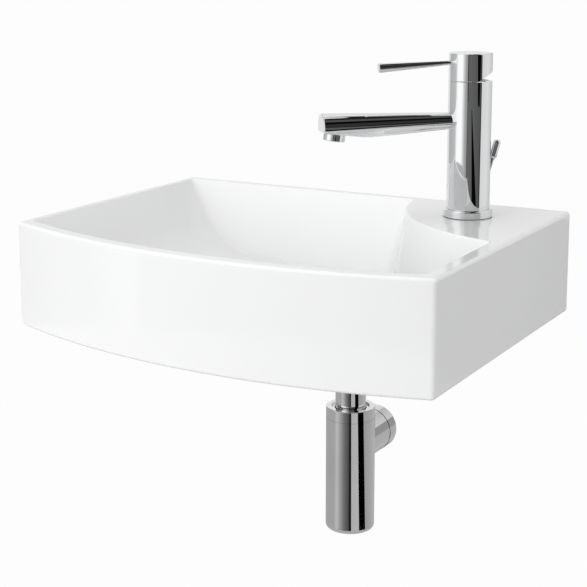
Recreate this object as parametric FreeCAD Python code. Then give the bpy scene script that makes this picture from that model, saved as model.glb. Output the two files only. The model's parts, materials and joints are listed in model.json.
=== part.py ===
import FreeCAD, Part
import math
import os

# A wall hung basin with a bowed front, a sloping bowl and a corner deck that carries a single lever tap.
# It has a pop-up waste worked by a lift rod behind the tap, and a bottle trap.
#
# Millimetres. +Z is up, +Y points into the wall and +X is to the right for someone who faces the basin.
# The origin is on the back face of the basin, midway between its two wall fixing holes.
# Heights below are measured from the rim, upwards, unless a comment says otherwise.

V = FreeCAD.Vector

# ---------------------------------------------------------------- basin, driving sizes
basin_width = 480.0
basin_height = 109.0
right_depth = 357.0                 # back face to the front corner, on the tap's side
left_depth = 327.0                  # back face to the front corner, on the other side
front_bow = 43.0                    # how far the front stands out of the line between its corners
corner_round = 5.0
rim_edge_round = 3.5
bottom_edge_round = 2.5

wall_fixing_drop = 60.0             # the rim lies this far above the wall fixing holes
wall_fixing_spacing = 280.0
wall_fixing_hole_radius = 7.0

left_rim = 8.0
back_rim = 9.0
front_rim = 16.0
right_rim = 17.0
bowl_edge_round = 3.0

left_slope = 48.0                   # degrees from level, upper part of the left wall of the bowl
left_slope_run = 30.0               # its straight part, measured level
left_curve_radius = 135.0
floor_fall = 2.5                    # degrees, towards the waste
floor_dip_radius = 350.0
back_wall_slope = 60.0
steep_wall_draft = 12.0             # degrees from upright, front and right walls of the bowl
bowl_corner_round_top = 7.0
bowl_corner_round_floor = 19.0
valley_round_rim = 3.5
valley_round_middle = 4.5
bowl_floor_round = 8.0

deck_radius = 203.0
deck_centre_outboard = 25.0         # centre of the deck's arc, to the right of the right side
deck_centre_behind = 12.0           # and behind the back face
deck_wall_draft = 8.0

side_wall = 12.0
back_wall = 14.0
deck_thickness = 15.0
bowl_shell = 11.0

# ---------------------------------------------------------------- tap, driving sizes
tap_from_right = 86.6
tap_from_back = 74.6
spout_azimuth = 41.0                # degrees from straight left towards the front
tap_hole_radius = 17.5

tap_body_radius = 22.7
tap_body_top = 142.4
tap_foot_recess_radius = 18.0
tap_foot_recess_top = 30.0
base_gasket_thickness = 0.8
base_gasket_inset = 0.5
base_ring_wall = 3.0
base_ring_height = 8.0
base_ring_round = 1.5

inlet_thread_radius = 5.0
inlet_thread_length = 14.0
inlet_back = 4.0
inlet_side = 9.0
waterway_radius = 3.5
outlet_forward = 9.0

chamber_floor = 112.0
chamber_radius = 17.6
nut_bore_radius = 20.0
nut_bore_bottom = 134.0

spout_root_height = 101.1
spout_root_radius = 8.7
spout_tip_drop = 3.9
spout_tip_radius = 15.0
spout_reach = 158.0
spout_bore_radius = 5.5
spout_tip_wall = 8.0
spout_tip_round = 1.0
spout_tenon_radius = 7.4
spout_tenon_start = 8.2
flat_length = 54.0                  # the cut under the spout, from the tip back
flat_rise = 7.0                     # degrees, the cut under the spout rises towards its tip

aerator_from_tip = 14.0
aerator_radius = 11.4
aerator_height = 7.5
aerator_edge_round = 0.8
aerator_insert_recess = 1.0         # the insert lies this far inside the mouth
aerator_thread_radius = 9.4
aerator_thread_height = 5.0
aerator_bore_radius = 8.6
aerator_insert_depth = 8.5
aerator_hole_radius = 0.7
aerator_hole_pitch = 2.6
aerator_washer_thickness = 1.5
aerator_washer_bore = 6.0

# ---------------------------------------------------------------- cartridge and lever, driving sizes
cartridge_seal_thickness = 1.0
cartridge_seal_radius = 4.4
port_narrowing = 0.4                # the ports in the discs are this much narrower than the waterways
cartridge_base_thickness = 3.0
cartridge_radius = 17.4
cartridge_wall = 1.2
cartridge_neck_radius = 15.5
cartridge_neck_bore = 14.2
cartridge_neck_top = 141.0
cartridge_roof = 1.5
disc_thickness = 4.0
fixed_disc_radius = 13.0
moving_disc_radius = 10.5
mixing_pocket_radius = 7.0
mixing_pocket_depth = 2.0
disc_driver_radius = 9.5
disc_driver_height = 8.0
driver_pocket_depth = 6.5
spindle_ball_radius = 3.5
spindle_ball_drop = 12.8            # below the pin that the lever tilts about
spindle_shaft_radius = 3.0
spindle_block_length = 8.0
spindle_block_width = 6.0
spindle_block_above = 5.2
spindle_block_below = 4.8
spindle_square = 8.0
carrier_height = 8.0
carrier_stand_out = 0.5             # above the cartridge's neck
carrier_ear_rise = 3.7              # above the pin's axis
carrier_ear_length = 8.0
carrier_ear_out = 7.0
carrier_slot_front = 8.6
carrier_pin_radius = 1.5
cartridge_nut_bore = 15.7
cartridge_nut_notch = 3.0

parting_gap = 0.4
parting_edge_round = 0.4
cap_height = 28.4
cap_cavity_radius = 18.5
cap_cavity_height = 11.2
cap_socket_depth = 6.0
cap_edge_round = 1.0
lever_lift_range = 24.0             # degrees
lever_lift_spare = 2.0              # the cut under the back of the cap opens this much further

lever_root_height = 161.1
lever_root_radius = 2.2
lever_tip_drop = 4.3
lever_tip_radius = 5.0
lever_reach = 98.7
lever_tenon_radius = 3.0
lever_tenon_depth = 10.0
tenon_into_lever = 0.2
lever_tip_round = 0.9
grub_screw_radius = 2.5
grub_screw_length = 8.0
grub_socket_radius = 1.25
grub_socket_depth = 2.5
grub_cover_recess = 0.3
grub_cover_length = 3.0

# ---------------------------------------------------------------- tap fixing under the deck, driving sizes
stud_radius = 4.0
stud_forward = 12.0
stud_grip = 12.0                    # thread in the tap's body
stud_end_drop = 38.0                # below the rim
deck_washer_radius = 25.0
deck_washer_thickness = 3.0
horseshoe_thickness = 2.0
horseshoe_slot_width = 33.0
horseshoe_slot_front = 4.5
stud_nut_radius = 7.5
stud_nut_height = 9.0

# ---------------------------------------------------------------- lift rod and pop-up linkage, driving sizes
rod_radius = 2.0
rod_lean = 16.0                     # degrees from upright, the top leans away from the spout
rod_exit_height = 51.2
rod_exit_clear = 0.5                # the rod's axis leaves the tap this far outside its back face
rod_below_clamp = 12.0
knob_radius = 4.0
knob_start = 9.5                    # along the rod, from where it leaves the tap's body
knob_length = 20.5
knob_foot_round = 3.0
knob_neck_radius = 2.6
knob_neck_length = 1.5
knob_bore_depth = 10.5
clamp_drop = 133.5                  # below the rim
clamp_offset = 9.0                  # between the lift rod and the pivot rod
clamp_length = 11.0
clamp_height = 13.0
clamp_screw_wall = 3.0
clamp_eye_wall = 1.5
clamp_edge_round = 1.2
clamp_eye_radius = 4.4
clamp_screw_radius = 2.0
clamp_screw_head_radius = 4.5
clamp_screw_head = 4.0
clamp_screw_reach = 13.0

# ---------------------------------------------------------------- waste, driving sizes
drain_reach = 125.0                 # tap's axis to the waste's axis
waste_hole_radius = 23.0
waste_seat_radius = 34.0
waste_seat_depth = 0.8
waste_seat_flare = 3.0
waste_boss_radius = 36.0
waste_boss_thickness = 12.0
flange_radius = 32.0
flange_thickness = 2.0
flange_edge_round = 1.8
flange_skirt_radius = 20.5
flange_bore = 18.5
flange_mouth = 21.0
flange_skirt_length = 27.0
flange_gasket_thickness = 1.0
waste_gasket_thickness = 3.0
gasket_inset = 1.0                  # a gasket's rim lies this far inside the metal that presses it
waste_head_radius = 30.0
waste_head_height = 5.5
waste_tube_radius = 21.0
waste_tube_bore = 17.5
waste_thread_length = 8.8           # of the waste's tail inside the trap's nut
waste_body_length = 51.5

plug_radius = 20.2
plug_thickness = 3.2
plug_edge_round = 1.4
plug_boss_radius = 6.0
plug_boss_length = 14.0
plug_fin_radius = 17.8
plug_fin_length = 10.0
plug_fin_thickness = 2.0
plug_fins = 3
plug_seal_thickness = 1.6
plug_seal_inset = 1.5
plug_seal_squeeze = 0.4             # the plug sits this far below the flange's top when it is shut
plug_stem_socket = 2.0              # metal left above the stem
plug_lift = 8.0                     # how far the plug stands above its seat when the waste is open
plug_stem_radius = 3.0

port_drop = 126.0                   # below the rim
port_radius = 10.0
port_reach = 36.0
port_bore = 5.2
port_socket_radius = 8.0
port_socket_start = 24.5
ball_reach = 31.0
ball_radius = 5.8
pivot_rod_radius = 2.5
pivot_rod_past_axis = 3.0
pivot_rod_past_clamp = 11.0
seat_thickness = 4.0
seat_bore = 5.2
pivot_nut_radius = 13.0
pivot_nut_length = 14.0
pivot_nut_wall = 4.0
pivot_nut_round = 1.0
seat_stand_out = 1.0                # the outer seat stands this far out of the port

# ---------------------------------------------------------------- bottle trap, driving sizes
trap_nut_flat_radius = 25.0         # from the axis to a flat
trap_nut_lip = 3.5
trap_washer_thickness = 3.0
tube_radius = 16.1
tube_wall = 1.2
tube_collar_thickness = 2.5
tube_collar_radius = 20.6
tube_bottom_gap = 22.0              # above the bottom of the trap
trap_radius = 26.0
trap_top_drop = 198.6               # below the rim
trap_cap_height = 12.3
trap_cap_plate = 4.4
trap_cap_recess_radius = 20.5
trap_cap_recess_depth = 2.0
trap_cap_hole = 17.0
trap_cap_round = 0.6
trap_seam = 0.2
trap_neck_radius = 24.0
trap_neck_height = 3.9
trap_wall = 1.6
trap_length = 135.4
trap_bottom_round = 5.0
trap_seal_radius = 23.8
outlet_below_top = 41.4             # the outlet's axis, below the top of the trap
outlet_boss_radius = 24.0
outlet_boss_reach = 47.6
outlet_seam = 0.6
outlet_neck_radius = 21.0
outlet_neck_length = 7.5
outlet_bore = 16.3
outlet_nut_radius = 24.4
outlet_nut_length = 15.3
outlet_nut_wall = 4.5
outlet_nut_round = 0.8
outlet_seal_inset = 0.3

# ---------------------------------------------------------------- clearances
thread_gap = 0.1                    # radial, between screwed and fitted pieces that stay still
slide_gap = 0.3                     # between pieces that move past each other
running_gap = 0.08                  # radial, in the ball joint and at the pins
face_gap = 0.05                     # between the two ceramic discs
end_gap = 0.5                       # between the end of a fitted piece and the bottom of its hole
overcut = 1.0                       # how far a cutting shape runs past the faces that it opens

# ---------------------------------------------------------------- sizes that follow from others
base_ring_radius = tap_body_radius + base_ring_wall
base_gasket_radius = base_ring_radius - base_gasket_inset
rod_exit_back = tap_body_radius + rod_exit_clear
flat_start = spout_reach - flat_length
aerator_reach = spout_reach - aerator_from_tip


# ---------------------------------------------------------------- small shape helpers
def rad(degrees):
    return math.radians(degrees)


def rod_solid(start, end, radius):
    line = end - start
    return Part.makeCylinder(radius, line.Length, start, line)


def upright(radius, bottom, top, x=0.0, y=0.0):
    return Part.makeCylinder(radius, top - bottom, V(x, y, bottom))


def ring(outer, inner, bottom, top, x=0.0, y=0.0):
    return upright(outer, bottom, top, x, y).cut(upright(inner, bottom - overcut, top + overcut, x, y))


def along_x(radius, start, end, y=0.0, z=0.0):
    return Part.makeCylinder(radius, end - start, V(start, y, z), V(1, 0, 0))


def ring_along_x(outer, inner, start, end, z=0.0):
    return along_x(outer, start, end, 0, z).cut(along_x(inner, start - overcut, end + overcut, 0, z))


def hexagon(corner_radius, bottom, top):
    corners = []
    for turn in range(7):
        angle = rad(60 * turn)
        corners.append(V(corner_radius * math.cos(angle), corner_radius * math.sin(angle), bottom))
    return Part.Face(Part.makePolygon(corners)).extrude(V(0, 0, top - bottom))


def block(x0, x1, y0, y1, z0, z1):
    return Part.makeBox(x1 - x0, y1 - y0, z1 - z0, V(x0, y0, z0))


def middle(edge):
    return edge.valueAt((edge.FirstParameter + edge.LastParameter) / 2)


def rounded(shape, radius, wanted):
    return shape.makeFillet(radius, [edge for edge in shape.Edges if wanted(edge)])


def rounded_with_laws(shape, law):
    """Fillets with a radius that changes along an edge; law(edge) gives its two end radii or None."""
    document = FreeCAD.newDocument("fillets")
    base = document.addObject("Part::Feature", "base")
    base.Shape = shape
    fillet = document.addObject("Part::Fillet", "fillet")
    fillet.Base = base
    picked = []
    for number, edge in enumerate(shape.Edges, 1):
        radii = law(edge)
        if radii:
            picked.append((number, radii[0], radii[1]))
    fillet.Edges = picked
    document.recompute()
    result = fillet.Shape.copy()
    FreeCAD.closeDocument(document.Name)
    return result


def is_level_circle(edge, height, radius):
    curve = edge.Curve
    if type(curve).__name__ != "Circle":
        return False
    return abs(curve.Radius - radius) < 0.01 and abs(middle(edge).z - height) < 0.01


# ---------------------------------------------------------------- basin
half_width = basin_width / 2
left_corner = V(-half_width, -left_depth, 0)
right_corner = V(half_width, -right_depth, 0)


def front_circle():
    """Centre and radius of the bowed front, from its two corners and its bow."""
    chord = right_corner - left_corner
    length = chord.Length
    radius = (length ** 2 / 4 + front_bow ** 2) / (2 * front_bow)
    towards_back = V(-chord.y, chord.x, 0) * (1 / length)
    return (left_corner + right_corner) * 0.5 + towards_back * (radius - front_bow), radius


front_centre, front_radius = front_circle()
deck_centre = V(half_width + deck_centre_outboard, deck_centre_behind, 0)
tap_place = V(half_width - tap_from_right, -tap_from_back, 0)
spout_direction = V(-math.cos(rad(spout_azimuth)), -math.sin(rad(spout_azimuth)), 0)
drain_place = tap_place + spout_direction * drain_reach
above_rim = 15.0                    # how far the cutting shapes stand above the rim
far_below = -140.0                  # and how far down they reach


def plan_prism(inset_side, inset_back, bottom, top):
    """The basin's outline, moved inwards, as an upright prism."""
    reach = front_radius - inset_side
    left = -half_width + inset_side
    right = half_width - inset_side

    def front_y(x):
        return front_centre.y - math.sqrt(reach ** 2 - (x - front_centre.x) ** 2)

    corners = [V(left, -inset_back, bottom), V(left, front_y(left), bottom)]
    corners += [V(right, front_y(right), bottom), V(right, -inset_back, bottom)]
    bow = Part.Arc(corners[1], V(0, front_y(0), bottom), corners[2]).toShape()
    edges = [Part.LineSegment(corners[0], corners[1]).toShape(), bow]
    edges += [Part.LineSegment(corners[2], corners[3]).toShape()]
    edges += [Part.LineSegment(corners[3], corners[0]).toShape()]
    return Part.Face(Part.Wire(edges)).extrude(V(0, 0, top - bottom))


def bowl_profile(grow):
    """Section of the bowl from left to right; grow moves every wall outwards by that much."""
    slope, fall, draft = rad(left_slope), rad(floor_fall), rad(steep_wall_draft)
    rim_x = -half_width + left_rim - grow / math.sin(slope)
    centre_x = -half_width + left_rim + left_slope_run + left_curve_radius * math.sin(slope)
    centre_z = -left_slope_run * math.tan(slope) + left_curve_radius * math.cos(slope)
    radius = left_curve_radius + grow

    def on_curve(angle):
        return V(centre_x - radius * math.sin(angle), 0, centre_z - radius * math.cos(angle))

    top_left = V(rim_x - above_rim / math.tan(slope), 0, above_rim)
    slope_end, curve_middle, curve_end = on_curve(slope), on_curve((slope + fall) / 2), on_curve(fall)

    dip = floor_dip_radius + grow
    half_dip = dip * math.sin(fall)
    dip_start_x = drain_place.x - half_dip
    dip_start = V(dip_start_x, 0, curve_end.z - (dip_start_x - curve_end.x) * math.tan(fall))
    dip_bottom = V(drain_place.x, 0, dip_start.z - dip * (1 - math.cos(fall)))
    dip_end = V(drain_place.x + half_dip, 0, dip_start.z)

    wall_x = half_width - right_rim + grow / math.cos(draft)
    lean, rise = math.tan(draft), math.tan(fall)
    corner_x = (wall_x + lean * (dip_end.z - dip_end.x * rise)) / (1 - lean * rise)
    corner = V(corner_x, 0, dip_end.z + (corner_x - dip_end.x) * rise)
    top_right = V(wall_x + above_rim * lean, 0, above_rim)

    edges = [
        Part.LineSegment(top_left, slope_end).toShape(),
        Part.Arc(slope_end, curve_middle, curve_end).toShape(),
        Part.LineSegment(curve_end, dip_start).toShape(),
        Part.Arc(dip_start, dip_bottom, dip_end).toShape(),
        Part.LineSegment(dip_end, corner).toShape(),
        Part.LineSegment(corner, top_right).toShape(),
        Part.LineSegment(top_right, top_left).toShape(),
    ]
    return Part.Face(Part.Wire(edges)), dip_bottom.z


def bowl_space(grow):
    """The bowl as a solid, before its corners are rounded."""
    profile, _ = bowl_profile(grow)
    depth = right_depth + front_bow
    profile.translate(V(0, -depth, 0))
    space = profile.extrude(V(0, depth + above_rim, 0))

    lean = 1 / math.tan(rad(back_wall_slope))
    back_y = -back_rim + grow / math.sin(rad(back_wall_slope))
    side = basin_width
    top = above_rim + overcut
    corners = [V(-side, back_y + top * lean, top), V(-side, back_y + far_below * lean, far_below)]
    corners += [V(-side, side, far_below), V(-side, side, top)]
    behind = Part.Face(Part.makePolygon(corners + corners[:1])).extrude(V(2 * side, 0, 0))
    space = space.cut(behind)

    height = top - far_below
    lean = math.tan(rad(steep_wall_draft))
    reach = front_radius - front_rim + grow / math.cos(rad(steep_wall_draft))
    base = V(front_centre.x, front_centre.y, far_below)
    space = space.common(Part.makeCone(reach + far_below * lean, reach + top * lean, height, base))

    lean = math.tan(rad(deck_wall_draft))
    reach = deck_radius - grow / math.cos(rad(deck_wall_draft))
    base = V(deck_centre.x, deck_centre.y, far_below)
    return space.cut(Part.makeCone(reach - far_below * lean, reach - top * lean, height, base))


def heights(edge):
    return sorted(vertex.Point.z for vertex in edge.Vertexes)


def is_steep(edge):
    low, high = heights(edge)[0], heights(edge)[-1]
    chord = (edge.Vertexes[-1].Point - edge.Vertexes[0].Point).Length
    return high - low > 0.75 * chord and high - low > basin_height / 2


def steep_corner_law(edge):
    """The upright corners of the bowl are tighter at the rim than at the floor."""
    if not is_steep(edge) or middle(edge).x < 0:
        return None
    if edge.Vertexes[0].Point.z > edge.Vertexes[-1].Point.z:
        return bowl_corner_round_top, bowl_corner_round_floor
    return bowl_corner_round_floor, bowl_corner_round_top


def floor_law(edge):
    """The round between the walls and the floor grows from the rim down the two valleys."""
    low, high = heights(edge)[0], heights(edge)[-1]
    chord = edge.Vertexes[-1].Point - edge.Vertexes[0].Point
    across_floor = abs(chord.y) > 0.98 * chord.Length and chord.Length > 0.4 * left_depth
    if low > above_rim / 2 or is_steep(edge) or across_floor:
        return None
    straight_valley_end = -left_slope_run * math.tan(rad(left_slope))
    if high > above_rim / 2:
        radii = (valley_round_rim, valley_round_middle)
    elif high > straight_valley_end - 1:
        radii = (valley_round_middle, bowl_floor_round)
    else:
        return bowl_floor_round, bowl_floor_round
    if edge.Vertexes[0].Point.z < edge.Vertexes[-1].Point.z:
        return radii[1], radii[0]
    return radii


def bowl_floor_height(grow=0.0):
    _, lowest = bowl_profile(grow)
    return lowest


def make_basin():
    outer = plan_prism(0.0, 0.0, -basin_height, 0.0)
    outer = rounded(outer, corner_round, lambda edge: is_upright(edge) and middle(edge).y < -back_wall)
    bowl = rounded_with_laws(bowl_space(0.0), steep_corner_law)
    bowl = rounded_with_laws(bowl, floor_law)
    basin = outer.cut(bowl)

    basin = rounded(basin, rim_edge_round, lambda edge: is_outer_edge(edge, 0.0))
    basin = rounded(basin, bottom_edge_round, lambda edge: is_outer_edge(edge, -basin_height))
    basin = rounded(basin, bowl_edge_round, is_bowl_edge)

    hollow = plan_prism(side_wall, back_wall, -basin_height - overcut, -deck_thickness)
    basin = basin.cut(hollow.cut(bowl_space(bowl_shell)))

    seat = waste_seat_height()
    underside = seat - waste_boss_thickness
    middle_of_floor = seat - waste_boss_thickness / 2
    basin = basin.fuse(upright(waste_boss_radius, underside, middle_of_floor, drain_place.x, drain_place.y))
    flare = waste_seat_flare
    place = V(drain_place.x, drain_place.y, seat)
    mouth = Part.makeCone(waste_seat_radius, waste_seat_radius + flare, flare, place)
    basin = basin.cut(mouth)
    basin = basin.cut(upright(waste_hole_radius, -basin_height - overcut, 0, drain_place.x, drain_place.y))
    basin = basin.cut(upright(tap_hole_radius, -deck_thickness - overcut, 1, tap_place.x, tap_place.y))
    for side in (-1, 1):
        start = V(side * wall_fixing_spacing / 2, -back_wall - overcut, -wall_fixing_drop)
        end = V(start.x, overcut, start.z)
        basin = basin.cut(rod_solid(start, end, wall_fixing_hole_radius))
    return basin.removeSplitter()


def is_upright(edge):
    chord = edge.Vertexes[-1].Point - edge.Vertexes[0].Point
    return abs(chord.z) > 0.99 * chord.Length


def lies_at(edge, height):
    return all(abs(z - height) < 0.01 for z in heights(edge)) and abs(middle(edge).z - height) < 0.01


def is_outer_edge(edge, height):
    """Edges of the outline at that height, but not the one on the wall side."""
    if not lies_at(edge, height):
        return False
    point = middle(edge)
    if point.y > -1:
        return False
    on_side = abs(point.x) > half_width - 2 * corner_round / 3
    from_centre = (point - V(front_centre.x, front_centre.y, height)).Length
    on_front = from_centre > front_radius - 2 * corner_round / 3
    return on_side or on_front


def is_bowl_edge(edge):
    if not lies_at(edge, 0.0):
        return False
    point = middle(edge)
    inside_sides = abs(point.x) < half_width - left_rim + 1 and point.y < -back_rim + 1
    return inside_sides and (point - front_centre).Length < front_radius - front_rim + 1


def waste_seat_height():
    return bowl_floor_height() - waste_seat_depth


# ---------------------------------------------------------------- waste, in a frame on its own axis
# Its local +X points at the eye of the rod clamp, so the pivot rod lies in the local XZ plane.
def rod_x(height):
    """Where the lift rod's axis is at a height, in the tap's frame (+X towards the spout's tip)."""
    return -rod_exit_back - (height - rod_exit_height) * math.tan(rad(rod_lean))


clamp_x = rod_x(-clamp_drop)
eye_in_tap_frame = V(clamp_x, clamp_offset, -clamp_drop)
sideways = V(-spout_direction.y, spout_direction.x, 0)
eye_place = tap_place + spout_direction * clamp_x + sideways * clamp_offset
to_eye = eye_place - drain_place
eye_distance = to_eye.Length
port_azimuth = math.degrees(math.atan2(to_eye.y, to_eye.x))
pivot_rest_tilt = math.degrees(math.atan((clamp_drop - port_drop) / (eye_distance - ball_reach)))
ball_place = V(ball_reach, 0, -port_drop)
seats_end = port_reach + seat_stand_out

seat_height = waste_seat_height()
flange_bottom = seat_height + flange_gasket_thickness
flange_top = flange_bottom + flange_thickness
head_top = seat_height - waste_boss_thickness - waste_gasket_thickness
waste_bottom = head_top - waste_body_length
plug_underside = flange_top - plug_seal_squeeze + plug_lift


def make_waste_flange():
    plate = upright(flange_radius, flange_bottom, flange_top)
    plate = rounded(plate, flange_edge_round, lambda edge: is_level_circle(edge, flange_top, flange_radius))
    skirt_bottom = flange_bottom - flange_skirt_length
    skirt = upright(flange_skirt_radius, skirt_bottom, flange_bottom + flange_thickness / 2)
    depth = flange_mouth - flange_bore
    mouth = Part.makeCone(flange_bore, flange_mouth + overcut, depth + overcut, V(0, 0, flange_top - depth))
    bore = upright(flange_bore, skirt_bottom - overcut, flange_top + overcut)
    return plate.fuse(skirt).cut(bore).cut(mouth).removeSplitter()


def make_waste_flange_gasket():
    outer = flange_radius - gasket_inset
    return ring(outer, flange_skirt_radius + slide_gap, seat_height, flange_bottom)


def make_waste_body_gasket():
    outer = waste_head_radius - gasket_inset
    return ring(outer, flange_skirt_radius + slide_gap, head_top, head_top + waste_gasket_thickness)


def make_waste_body():
    head = upright(waste_head_radius, head_top - waste_head_height, head_top)
    tube = upright(waste_tube_radius, waste_bottom, head_top)
    port = along_x(port_radius, (waste_tube_bore + waste_tube_radius) / 2, port_reach, 0, -port_drop)
    body = head.fuse(tube).fuse(port)
    skirt_end = flange_bottom - flange_skirt_length - end_gap
    body = body.cut(upright(flange_skirt_radius + thread_gap, skirt_end, head_top + overcut))
    body = body.cut(upright(waste_tube_bore, waste_bottom - overcut, head_top + overcut))
    body = body.cut(along_x(port_bore, 0, port_reach + overcut, 0, -port_drop))
    body = body.cut(along_x(port_socket_radius, port_socket_start, port_reach + overcut, 0, -port_drop))
    return body.removeSplitter()


def make_plug():
    top = plug_underside + plug_thickness
    cap = upright(plug_radius, plug_underside, top)
    cap = rounded(cap, plug_edge_round, lambda edge: is_level_circle(edge, top, plug_radius))
    boss = upright(plug_boss_radius, plug_underside - plug_boss_length, plug_underside + overcut)
    plug = cap.fuse(boss)
    for turn in range(plug_fins):
        fin_top = plug_underside - plug_seal_thickness
        fin = block(0, plug_fin_radius, -plug_fin_thickness / 2, plug_fin_thickness / 2,
                    fin_top - plug_fin_length, fin_top)
        fin.rotate(V(0, 0, 0), V(0, 0, 1), turn * 360.0 / plug_fins)
        plug = plug.fuse(fin)
    bottom = plug_underside - plug_boss_length - overcut
    bore = upright(plug_stem_radius + thread_gap, bottom, plug_underside - plug_stem_socket)
    return plug.cut(bore).removeSplitter()


def make_plug_seal():
    outer = plug_radius - plug_seal_inset
    return ring(outer, plug_boss_radius + thread_gap, plug_underside - plug_seal_thickness, plug_underside)


def make_plug_stem():
    tilt = rad(pivot_rest_tilt)
    rod_top = -port_drop + ball_reach * math.tan(tilt) + pivot_rod_radius / math.cos(tilt)
    bottom = rod_top + plug_stem_radius * math.tan(tilt) + slide_gap
    return upright(plug_stem_radius, bottom, plug_underside - plug_stem_socket - end_gap)


def make_pivot_rod():
    outer_end = eye_distance + pivot_rod_past_clamp
    rod = along_x(pivot_rod_radius, -pivot_rod_past_axis, outer_end, 0, -port_drop)
    ball = Part.makeSphere(ball_radius, ball_place)
    rod = rod.fuse(ball)
    rod.rotate(ball_place, V(0, 1, 0), pivot_rest_tilt)
    return rod


def pivot_seat(start, end):
    seat = ring_along_x(port_socket_radius - thread_gap, seat_bore, start, end, -port_drop)
    return seat.cut(Part.makeSphere(ball_radius + running_gap, ball_place))


def make_pivot_inner_seat():
    return pivot_seat(port_socket_start, port_socket_start + seat_thickness)


def make_pivot_outer_seat():
    return pivot_seat(seats_end - seat_thickness, seats_end)


def make_pivot_nut():
    end = seats_end + pivot_nut_wall
    nut = along_x(pivot_nut_radius, end - pivot_nut_length, end, 0, -port_drop)
    nut = rounded(nut, pivot_nut_round, lambda edge: abs(middle(edge).x - end) < 0.01)
    thread_start = end - pivot_nut_length - overcut
    nut = nut.cut(along_x(port_radius + thread_gap, thread_start, seats_end, 0, -port_drop))
    return nut.cut(along_x(seat_bore, 0, end + overcut, 0, -port_drop))


# ---------------------------------------------------------------- lift rod, in the tap's frame
rod_up = V(-math.sin(rad(rod_lean)), 0, math.cos(rad(rod_lean)))
rod_exit = V(-rod_exit_back, 0, rod_exit_height)


def make_lift_rod():
    start = V(clamp_x, 0, -clamp_drop) - rod_up * rod_below_clamp
    return rod_solid(start, rod_exit + rod_up * (knob_start + knob_bore_depth - end_gap), rod_radius)


def make_lift_knob():
    knob = Part.makeCylinder(knob_radius, knob_length)
    knob = rounded(knob, 0.8 * knob_radius, lambda edge: is_level_circle(edge, knob_length, knob_radius))
    knob = rounded(knob, knob_foot_round, lambda edge: is_level_circle(edge, 0.0, knob_radius))
    neck = upright(knob_neck_radius, -knob_neck_length, knob_bore_depth / 2)
    bore = upright(rod_radius + thread_gap, -knob_neck_length - overcut, knob_bore_depth)
    knob = knob.fuse(neck).cut(bore)
    knob.rotate(V(0, 0, 0), V(0, 1, 0), -rod_lean)
    knob.translate(rod_exit + rod_up * knob_start)
    return knob


def is_along_y(edge):
    chord = edge.Vertexes[-1].Point - edge.Vertexes[0].Point
    return abs(chord.y) > 0.99 * chord.Length


def clamp_bounds():
    """Lowest and highest sideways position of the clamp, in the tap's frame."""
    return -rod_radius - clamp_screw_wall, clamp_offset + clamp_eye_radius + clamp_eye_wall


def make_rod_clamp():
    low, high = clamp_bounds()
    body = block(-clamp_length / 2, clamp_length / 2, low, high, -clamp_height / 2, clamp_height / 2)
    body = rounded(body, clamp_edge_round, lambda edge: is_along_y(edge))
    body.translate(V(clamp_x, 0, -clamp_drop))
    centre = V(clamp_x, 0, -clamp_drop)
    hole_radius = rod_radius + thread_gap
    body = body.cut(rod_solid(centre - rod_up * clamp_height, centre + rod_up * clamp_height, hole_radius))
    tilt = rad(pivot_rest_tilt)
    along = from_waste_to_tap_direction(V(math.cos(tilt), 0, -math.sin(tilt)))
    eye_start = eye_in_tap_frame - along * clamp_length
    eye_end = eye_in_tap_frame + along * clamp_length
    body = body.cut(rod_solid(eye_start, eye_end, clamp_eye_radius))
    mouth = V(clamp_x, low - overcut, -clamp_drop)
    return body.cut(rod_solid(mouth, centre, clamp_screw_radius + thread_gap))


def from_waste_to_tap_direction(direction):
    world = turned(direction, port_azimuth)
    return turned(world, -tap_turn)


def turned(vector, degrees):
    turn = rad(degrees)
    x = vector.x * math.cos(turn) - vector.y * math.sin(turn)
    y = vector.x * math.sin(turn) + vector.y * math.cos(turn)
    return V(x, y, vector.z)


def make_clamp_screw():
    start = V(clamp_x, -clamp_screw_reach, -clamp_drop)
    tip = V(clamp_x, -rod_radius - thread_gap, -clamp_drop)
    head = rod_solid(start, start + V(0, clamp_screw_head, 0), clamp_screw_head_radius)
    return rod_solid(start, tip, clamp_screw_radius).fuse(head)


# ---------------------------------------------------------------- tap, in its own frame
# The frame stands on the deck at the tap's axis, and its +X points along the spout.
tap_turn = 180.0 + spout_azimuth
body_bottom = base_gasket_thickness
axis_slope = spout_tip_drop / (spout_reach - tap_body_radius)
spout_axis = V(math.cos(math.atan(axis_slope)), 0, -math.sin(math.atan(axis_slope)))
spout_root = V(tap_body_radius, 0, spout_root_height)
cone_slope = (spout_tip_radius - spout_root_radius) / (spout_reach - tap_body_radius)
lower_line_slope = axis_slope + cone_slope
lower_line_drop = lower_line_slope * (flat_start - tap_body_radius)
flat_point = V(flat_start, 0, spout_root_height - spout_root_radius - lower_line_drop)
flat_along = V(math.cos(rad(flat_rise)), 0, math.sin(rad(flat_rise)))
aerator_down = V(math.sin(rad(flat_rise)), 0, -math.cos(rad(flat_rise)))
aerator_seat = flat_point + flat_along * ((aerator_reach - flat_start) / math.cos(rad(flat_rise)))
inlet_sides = (-inlet_side, inlet_side)
disc_floor = chamber_floor + cartridge_seal_thickness + cartridge_base_thickness
cap_bottom = tap_body_top + parting_gap
lever_pin = V(0, 0, cap_bottom)


def make_tap_base_gasket():
    return ring(base_gasket_radius, tap_foot_recess_radius, 0, base_gasket_thickness)


def make_tap_base_ring():
    top = base_gasket_thickness + base_ring_height
    shape = upright(base_ring_radius, base_gasket_thickness, top)
    shape = rounded(shape, base_ring_round, lambda edge: is_level_circle(edge, top, base_ring_radius))
    return shape.cut(upright(tap_body_radius + thread_gap, -1, top + overcut))


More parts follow.
